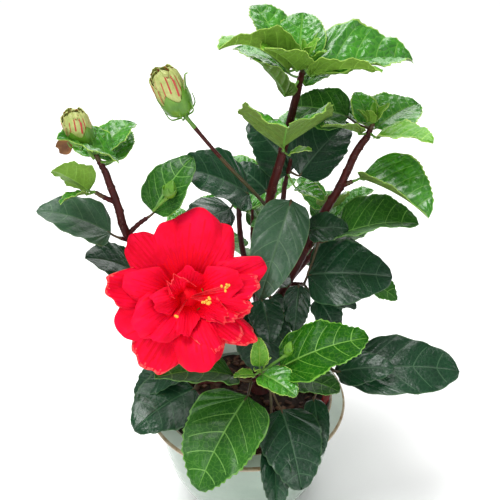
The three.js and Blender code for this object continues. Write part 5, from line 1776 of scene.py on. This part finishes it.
@dataclass
class Pot:
    """The glazed pot: a round body under a wide rolled lip, turned from one profile."""

    foot_radius: float = 42.0
    body_radius: float = 75.0
    body_top: float = 99.0
    swell: float = 2.55
    tuck: float = 1.35
    lip_radius: float = 85.5
    lip_z: float = 103.5
    mouth_radius: float = 73.0
    height: float = 108.0
    wall: float = 6.0
    floor: float = 9.0
    neck_radius: float = 69.0
    clay_top: float = 2.6  # the foot is left bare below this
    turns: int = 144
    line_width: float = 2.3  # of the iron line round the lip

    def radius(self, z: float) -> float:
        """Finds the outer radius of the body.

        Args:
            z: the height.

        Returns:
            The radius there.
        """
        depth = (self.body_top - z) / self.body_top
        bulge = max(0.0, 1 - depth**self.swell) ** (1 / self.tuck)
        return lerp(self.foot_radius, self.body_radius, bulge)

    def inner(self, z: float) -> float:
        """Returns the inner radius of the body at a height."""
        return min(self.radius(z) - self.wall, self.neck_radius)

    def profile(self) -> list[tuple[float, float]]:
        """Draws the section of the wall.

        Returns:
            Radius and height, from the middle of the foot round to the middle of the floor.
        """
        points = [(0.0, 0.0), (self.foot_radius - 1.6, 0.0), (self.foot_radius - 0.7, 0.25)]
        for z in np.linspace(1.2, self.body_top - 0.8, 45):
            points.append((self.radius(z) + 0.07 * math.sin(z * 0.83) + 0.04 * math.sin(z * 2.1), z))
        edge, rim, mouth, top = self.lip_radius, self.lip_z, self.mouth_radius, self.height
        lip = [(self.body_radius + 0.7, self.body_top), (edge - 3.0, rim - 3.4), (edge - 0.9, rim - 2.2),
               (edge - 0.1, rim - 0.5), (edge - 1.2, rim + 1.0), (edge - 5.0, rim + 2.4),
               (mouth + 2.2, top - 0.5), (mouth + 0.6, top - 0.1), (mouth - 0.6, top - 0.7),
               (mouth - 1.6, top - 2.6), (self.neck_radius + 0.4, self.body_top + 0.8)]
        padded = np.array([(r, 0.0, z) for r, z in lip])
        points += [(float(p[0]), float(p[2])) for p in smooth_curve(padded, 44)]
        points += [(self.inner(z), z) for z in np.linspace(self.body_top - 0.5, self.floor + 4.0, 21)]
        corner = self.inner(self.floor + 4.0)
        points += [(corner - 1.2, self.floor + 1.4), (corner - 4.5, self.floor + 0.2)]
        return [*points, (corner - 9.0, self.floor), (0.0, self.floor)]

    def build(self, effects: SharedEffects) -> None:
        """Turns the pot from its profile.

        Args:
            effects: the shared node groups.
        """
        section = [(r * MM, 0.0, z * MM) for r, z in self.profile()]
        mesh = bpy.data.meshes.new("glazed_pot")
        mesh.from_pydata(section, [(i, i + 1) for i in range(len(section) - 1)], [])
        made = new_object("glazed_pot", mesh)
        select_only(made)
        bpy.ops.object.mode_set(mode="EDIT")
        bpy.ops.mesh.select_all(action="SELECT")
        bpy.ops.mesh.spin(steps=self.turns, angle=2 * math.pi, center=(0, 0, 0), axis=(0, 0, 1))
        bpy.ops.mesh.select_all(action="SELECT")
        bpy.ops.mesh.remove_doubles(threshold=0.00001)
        bpy.ops.mesh.normals_make_consistent(inside=False)
        bpy.ops.object.mode_set(mode="OBJECT")
        for finish in POT_FINISHES:
            mesh.materials.append(finish.material(effects))
        for face in mesh.polygons:
            r = math.hypot(face.center.x, face.center.y) / MM
            face.material_index = self.slot_at(r, face.center.z / MM)
        bpy.ops.object.shade_smooth_by_angle(angle=math.radians(60))
        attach(made, BODY)
        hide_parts("pot")
        LOG.info("glazed_pot: %d faces", len(mesh.polygons))

    def slot_at(self, radius: float, z: float) -> int:
        """Chooses the finish at a place on the wall.

        Args:
            radius: how far the place is from the middle.
            z: its height.

        Returns:
            The slot of the finish.
        """
        if z < self.clay_top and radius < self.foot_radius + 6:
            return BARE_CLAY
        if radius > self.lip_radius - self.line_width and self.lip_z - 1.6 < z < self.lip_z + 1.5:
            return IRON_LINE
        if self.mouth_radius - 0.4 < radius < self.mouth_radius + 1.0 and z > self.height - 0.6:
            return IRON_LINE
        # the lip above the body takes the paler copy of the glaze, which is painted light
        return LIP_PAINTED_LIGHT if z > self.body_top else GLAZE


@dataclass
class Soil:
    """The potting soil: a rough bed, loose chips of bark on it and one fallen petal."""

    pot: Pot
    top: float = SOIL_TOP
    level: float = 0.6  # how far the middle of the rough bed lies below its top
    rings: int = 46
    spokes: int = 150
    chips: int = 420
    chip_size: tuple[float, float] = (1.2, 4.6)
    pale_share: float = 0.16  # of the chips
    reach: float = 64.0  # how far from the middle chips lie
    stem_place: tuple[float, float] = (12.0, 18.0)
    stem_room: float = 11.0
    petal_place: Point = (66.0, -9.0, 96.5)
    petal_reach: float = 20.0
    petal_breadth: float = 10.0

    def height(self, x: Array, y: Array) -> Array:
        """Finds the height of the bed.

        Args:
            x: the places' x.
            y: the places' y.

        Returns:
            The height at each place.
        """
        rough = (0.55 * np.sin(0.31 * x + 0.7) * np.sin(0.27 * y + 1.9) + 0.4 * np.sin(0.63 * x - 0.4 * y)
                 + 0.35 * np.sin(1.21 * x + 0.8 * y + 1.0) + 0.28 * np.sin(1.9 * y - 1.1 * x)
                 + 0.2 * np.sin(2.9 * x + 0.3) * np.sin(3.1 * y))
        return self.top - self.level + rough

    def grow_bed(self, shell: Shell) -> None:
        """Adds the bed: its rough top, its side against the pot and its underside.

        Args:
            shell: takes it.
        """
        floor, turn = self.pot.floor, np.arange(self.spokes) * FULL_TURN / self.spokes
        edge = self.pot.inner(self.top) - GAP
        rows = []
        for share in np.linspace(0.02, 1, self.rings):
            x, y = edge * share * np.cos(turn), edge * share * np.sin(turn)
            rows.append(np.stack([x, y, self.height(x, y)], axis=1))
        heights = [lerp(self.top, floor + 4.0, share) for share in np.linspace(0.04, 1, 12)]
        sides = [(self.pot.inner(z) - GAP, z) for z in heights]
        for r, z in [*sides, (self.pot.inner(floor + 4.0) - 8.0, floor + GAP)]:
            rows.append(np.stack([r * np.cos(turn), r * np.sin(turn), 0 * turn + z], axis=1))
        points = np.vstack([*rows, [[0, 0, self.top - self.level]], [[0, 0, floor + GAP]]])
        n, last = self.spokes, len(rows)
        faces = []
        for j in range(n):
            k = (j + 1) % n
            faces.append((last * n, j, k))
            for i in range(last - 1):
                faces.append((i * n + j, (i + 1) * n + j, (i + 1) * n + k, i * n + k))
            faces.append(((last - 1) * n + j, last * n + 1, (last - 1) * n + k))
        shell.add(points, faces, 0)

    @staticmethod
    def base_chip() -> tuple[Array, list[tuple[int, ...]]]:
        """Models one chip of bark, two units long.

        Returns:
            Its places and its faces.
        """
        bpy.ops.mesh.primitive_cube_add(size=2)
        made = bpy.context.object
        select_only(made)
        made.scale = (1.0, 0.62, 0.26)
        bpy.ops.object.transform_apply(scale=True)
        bpy.ops.object.mode_set(mode="EDIT")
        bpy.ops.mesh.select_all(action="SELECT")
        bpy.ops.mesh.bevel(offset=0.1, segments=1)
        bpy.ops.mesh.select_all(action="SELECT")
        bpy.ops.mesh.subdivide(number_cuts=1)
        bpy.ops.transform.vertex_random(offset=0.07, seed=5)
        bpy.ops.mesh.normals_make_consistent(inside=False)
        bpy.ops.object.mode_set(mode="OBJECT")
        points = np.array([tuple(v.co) for v in made.data.vertices])
        faces = [tuple(f.vertices) for f in made.data.polygons]
        bpy.data.objects.remove(made, do_unlink=True)
        return points, faces

    def grow_chips(self, shell: Shell) -> None:
        """Adds the loose chips, each a stretched, bent and turned copy of the same one.

        Args:
            shell: takes them, with the slots chip and pale chip.
        """
        points, faces = self.base_chip()
        random = SeededRandom(404)
        placed = 0
        while placed < self.chips:
            turn, share = random.next() * FULL_TURN, math.sqrt(random.next())
            x, y = self.reach * share * math.cos(turn), self.reach * share * math.sin(turn)
            if math.hypot(x - self.stem_place[0], y - self.stem_place[1]) < self.stem_room:
                continue
            size = lerp(*self.chip_size, random.next() ** 1.7)
            stretch = [size * lerp(*span, random.next()) for span in ((0.8, 1.25), (0.6, 1.1), (0.6, 1.2))]
            own = points * np.array(stretch)
            own[:, 2] += 0.05 * own[:, 0] ** 2 / size * random.scatter(4)
            yaw, pitch = random.next() * FULL_TURN, math.radians(random.scatter(50))
            lean = np.array([[math.cos(pitch), 0, -math.sin(pitch)], [0, 1, 0],
                             [math.sin(pitch), 0, math.cos(pitch)]])
            spin = np.array([[math.cos(yaw), -math.sin(yaw), 0],
                             [math.sin(yaw), math.cos(yaw), 0], [0, 0, 1]])
            z = float(self.height(np.array(x), np.array(y))) + lerp(0.0, 1.0, random.next())
            slot = 1 if random.next() < self.pale_share else 0
            shell.add(own @ lean.T @ spin.T + np.array([x, y, z]), faces, slot)
            placed += 1

    def grow_fallen_petal(self, shell: Shell) -> None:
        """Adds the withered petal that lies against the pot's wall inside the rim.

        Args:
            shell: takes it, with the slots inside and edge.
        """
        u, v = grid(18, 15)
        turn = math.atan2(self.petal_place[1], self.petal_place[0])
        out = np.array([math.cos(turn), math.sin(turn), 0.0])
        level = np.array([-math.sin(turn), math.cos(turn), 0.0])
        half = self.petal_breadth * np.sin(math.pi * np.clip(0.12 + 0.86 * u, 0, 1) ** 0.8) ** 0.6
        across = half * v + 3.0 * u**2
        away = (8.5 * u + 1.6 * np.sin(5 * v + 3 * u) * u - 2.4 * np.abs(v) ** 2
                + 0.5 * np.sin(15 * v + 9 * u) * u - 6.0 * u**4)
        top = (np.array(self.petal_place) + (self.petal_reach * u * (1 - 0.12 * v**2))[..., None] * UP
               + across[..., None] * level + away[..., None] * out)
        inside = np.zeros((17, 14), dtype=int)
        inside[15:, :] = 1
        shell.sheet(top, top - 0.5 * out, 1, inside, 1)

    def build(self, effects: SharedEffects) -> None:
        """Makes the bed, its chips and the fallen petal.

        Args:
            effects: the shared node groups.
        """
        bed, chips, petal = Shell(), Shell(), Shell()
        self.grow_bed(bed)
        self.grow_chips(chips)
        self.grow_fallen_petal(petal)
        made = petal.piece("fallen_petal", [FALLEN_RED, FALLEN_EDGE], effects)
        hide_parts("soil")
        made = bed.piece("soil_bed", [SOIL], effects)
        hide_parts("soil")
        made = chips.piece("bark_chips", [CHIP, PALE_CHIP], effects, 25.0)
        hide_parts("soil")


# ---------- studio


@dataclass(frozen=True)
class Lamp:
    """A square soft lamp. Its place and aim and its side's size are in millimetres, its power in watts."""

    name: str
    place: Point
    aim: Point
    size: float
    power: float

    def light(self) -> None:
        """Hangs the lamp."""
        lamp = bpy.data.lights.new(self.name, "AREA")
        lamp.size = self.size * MM
        lamp.energy = self.power
        made = new_object(self.name, lamp)
        made.location = np.array(self.place) * MM
        made.rotation_euler = turned_from(Vector(made.location) - Vector(np.array(self.aim) * MM))


def turned_from(away: Vector) -> Euler:
    """Returns the turn of a lamp that shines opposite to a direction."""
    return away.to_track_quat("Z", "Y").to_euler()


@dataclass
class Studio:
    """A pale floor, wide daylight, large soft lamps and the camera."""

    camera_place: Point = (3.0, -499.0, 547.0)
    camera_pitch: float = 30.6
    lens: float = 54.0
    sensor: float = 36.0
    near: float = 0.01  # the closest thing the camera sees, in metres
    floor_side: float = 8.0  # half of it, in metres
    sky: float = 0.27  # the sky's strength as a light; the camera sees it at full strength
    sun_way: Point = (-0.28, -0.10, 1.0)
    sun_strength: float = 2.7
    sun_width: float = 30.0  # degrees
    lamps: tuple[Lamp, ...] = (
        Lamp("key", (-420, -900, 700), (0, 0, 200), 500, 3.4),
        Lamp("fill", (700, -900, 700), (0, 0, 180), 500, 3.2),
        Lamp("back", (60, 1100, 800), (0, 0, 280), 900, 5.0),
        Lamp("top", (40, 520, 1250), (0, 0, 300), 600, 5.0),
    )

    def lay_floor(self, effects: SharedEffects) -> None:
        """Lays the floor.

        Args:
            effects: the shared node groups.
        """
        finish = Finish("floor", (0.95, 0.95, 0.95), (0.93, 0.93, 0.93), 2.0, roughness=(0.8, 0.9),
                        specular=0.2, relief=(40.0, 0.02))
        side = self.floor_side
        mesh = bpy.data.meshes.new("studio_floor")
        mesh.from_pydata([(-side, -side, 0), (side, -side, 0), (side, side, 0), (-side, side, 0)], [],
                         [(0, 1, 2, 3)])
        mesh.materials.append(finish.material(effects))
        plane = new_object("studio_floor", mesh)

    def light_sky(self) -> None:
        """Makes the sky a weak light that the camera sees as plain white."""
        world = bpy.data.worlds.new("studio")
        world.use_nodes = True
        tree = world.node_tree
        background = tree.nodes["Background"]
        background.inputs["Color"].default_value = (1.0, 1.0, 1.0, 1.0)
        seen = add_node(tree, "LightPath")
        strength = add_node(tree, "Math")
        strength.operation = "MULTIPLY_ADD"
        strength.inputs[1].default_value = 1.0 - self.sky
        strength.inputs[2].default_value = self.sky
        wire(tree, (seen.outputs["Is Camera Ray"], strength.inputs[0]),
             (strength.outputs[0], background.inputs["Strength"]))
        bpy.context.scene.world = world

    def light_sun(self) -> None:
        """Adds wide soft daylight."""
        sun = bpy.data.lights.new("daylight", "SUN")
        sun.energy = self.sun_strength
        sun.angle = math.radians(self.sun_width)
        new_object("daylight", sun).rotation_euler = turned_from(Vector(self.sun_way))

    def build(self, effects: SharedEffects) -> None:
        """Sets up the floor, the light and the camera.

        Args:
            effects: the shared node groups.
        """
        self.lay_floor(effects)
        self.light_sky()
        self.light_sun()
        for lamp in self.lamps:
            lamp.light()
        camera = bpy.data.cameras.new("camera")
        camera.lens = self.lens
        camera.sensor_width = self.sensor
        camera.clip_start = self.near
        eye = new_object("camera", camera)
        eye.location = np.array(self.camera_place) * MM
        eye.rotation_euler = (math.radians(90 - self.camera_pitch), 0.0, 0.0)
        bpy.context.scene.camera = eye
        bpy.context.scene.view_settings.view_transform = "Standard"


# ---------- the whole plant


def main() -> None:
    """Builds the plant's sub-assemblies in order."""
    logging.basicConfig(level=logging.INFO, format="%(name)s: %(message)s")
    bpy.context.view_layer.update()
    effects = SharedEffects()
    pot = Pot()
    pot.build(effects)
    Soil(pot).build(effects)
    Wood().build(effects)
    Foliage().build(effects)
    Bloom().build(effects)
    Studio().build(effects)


if __name__ == "__main__":
    main()
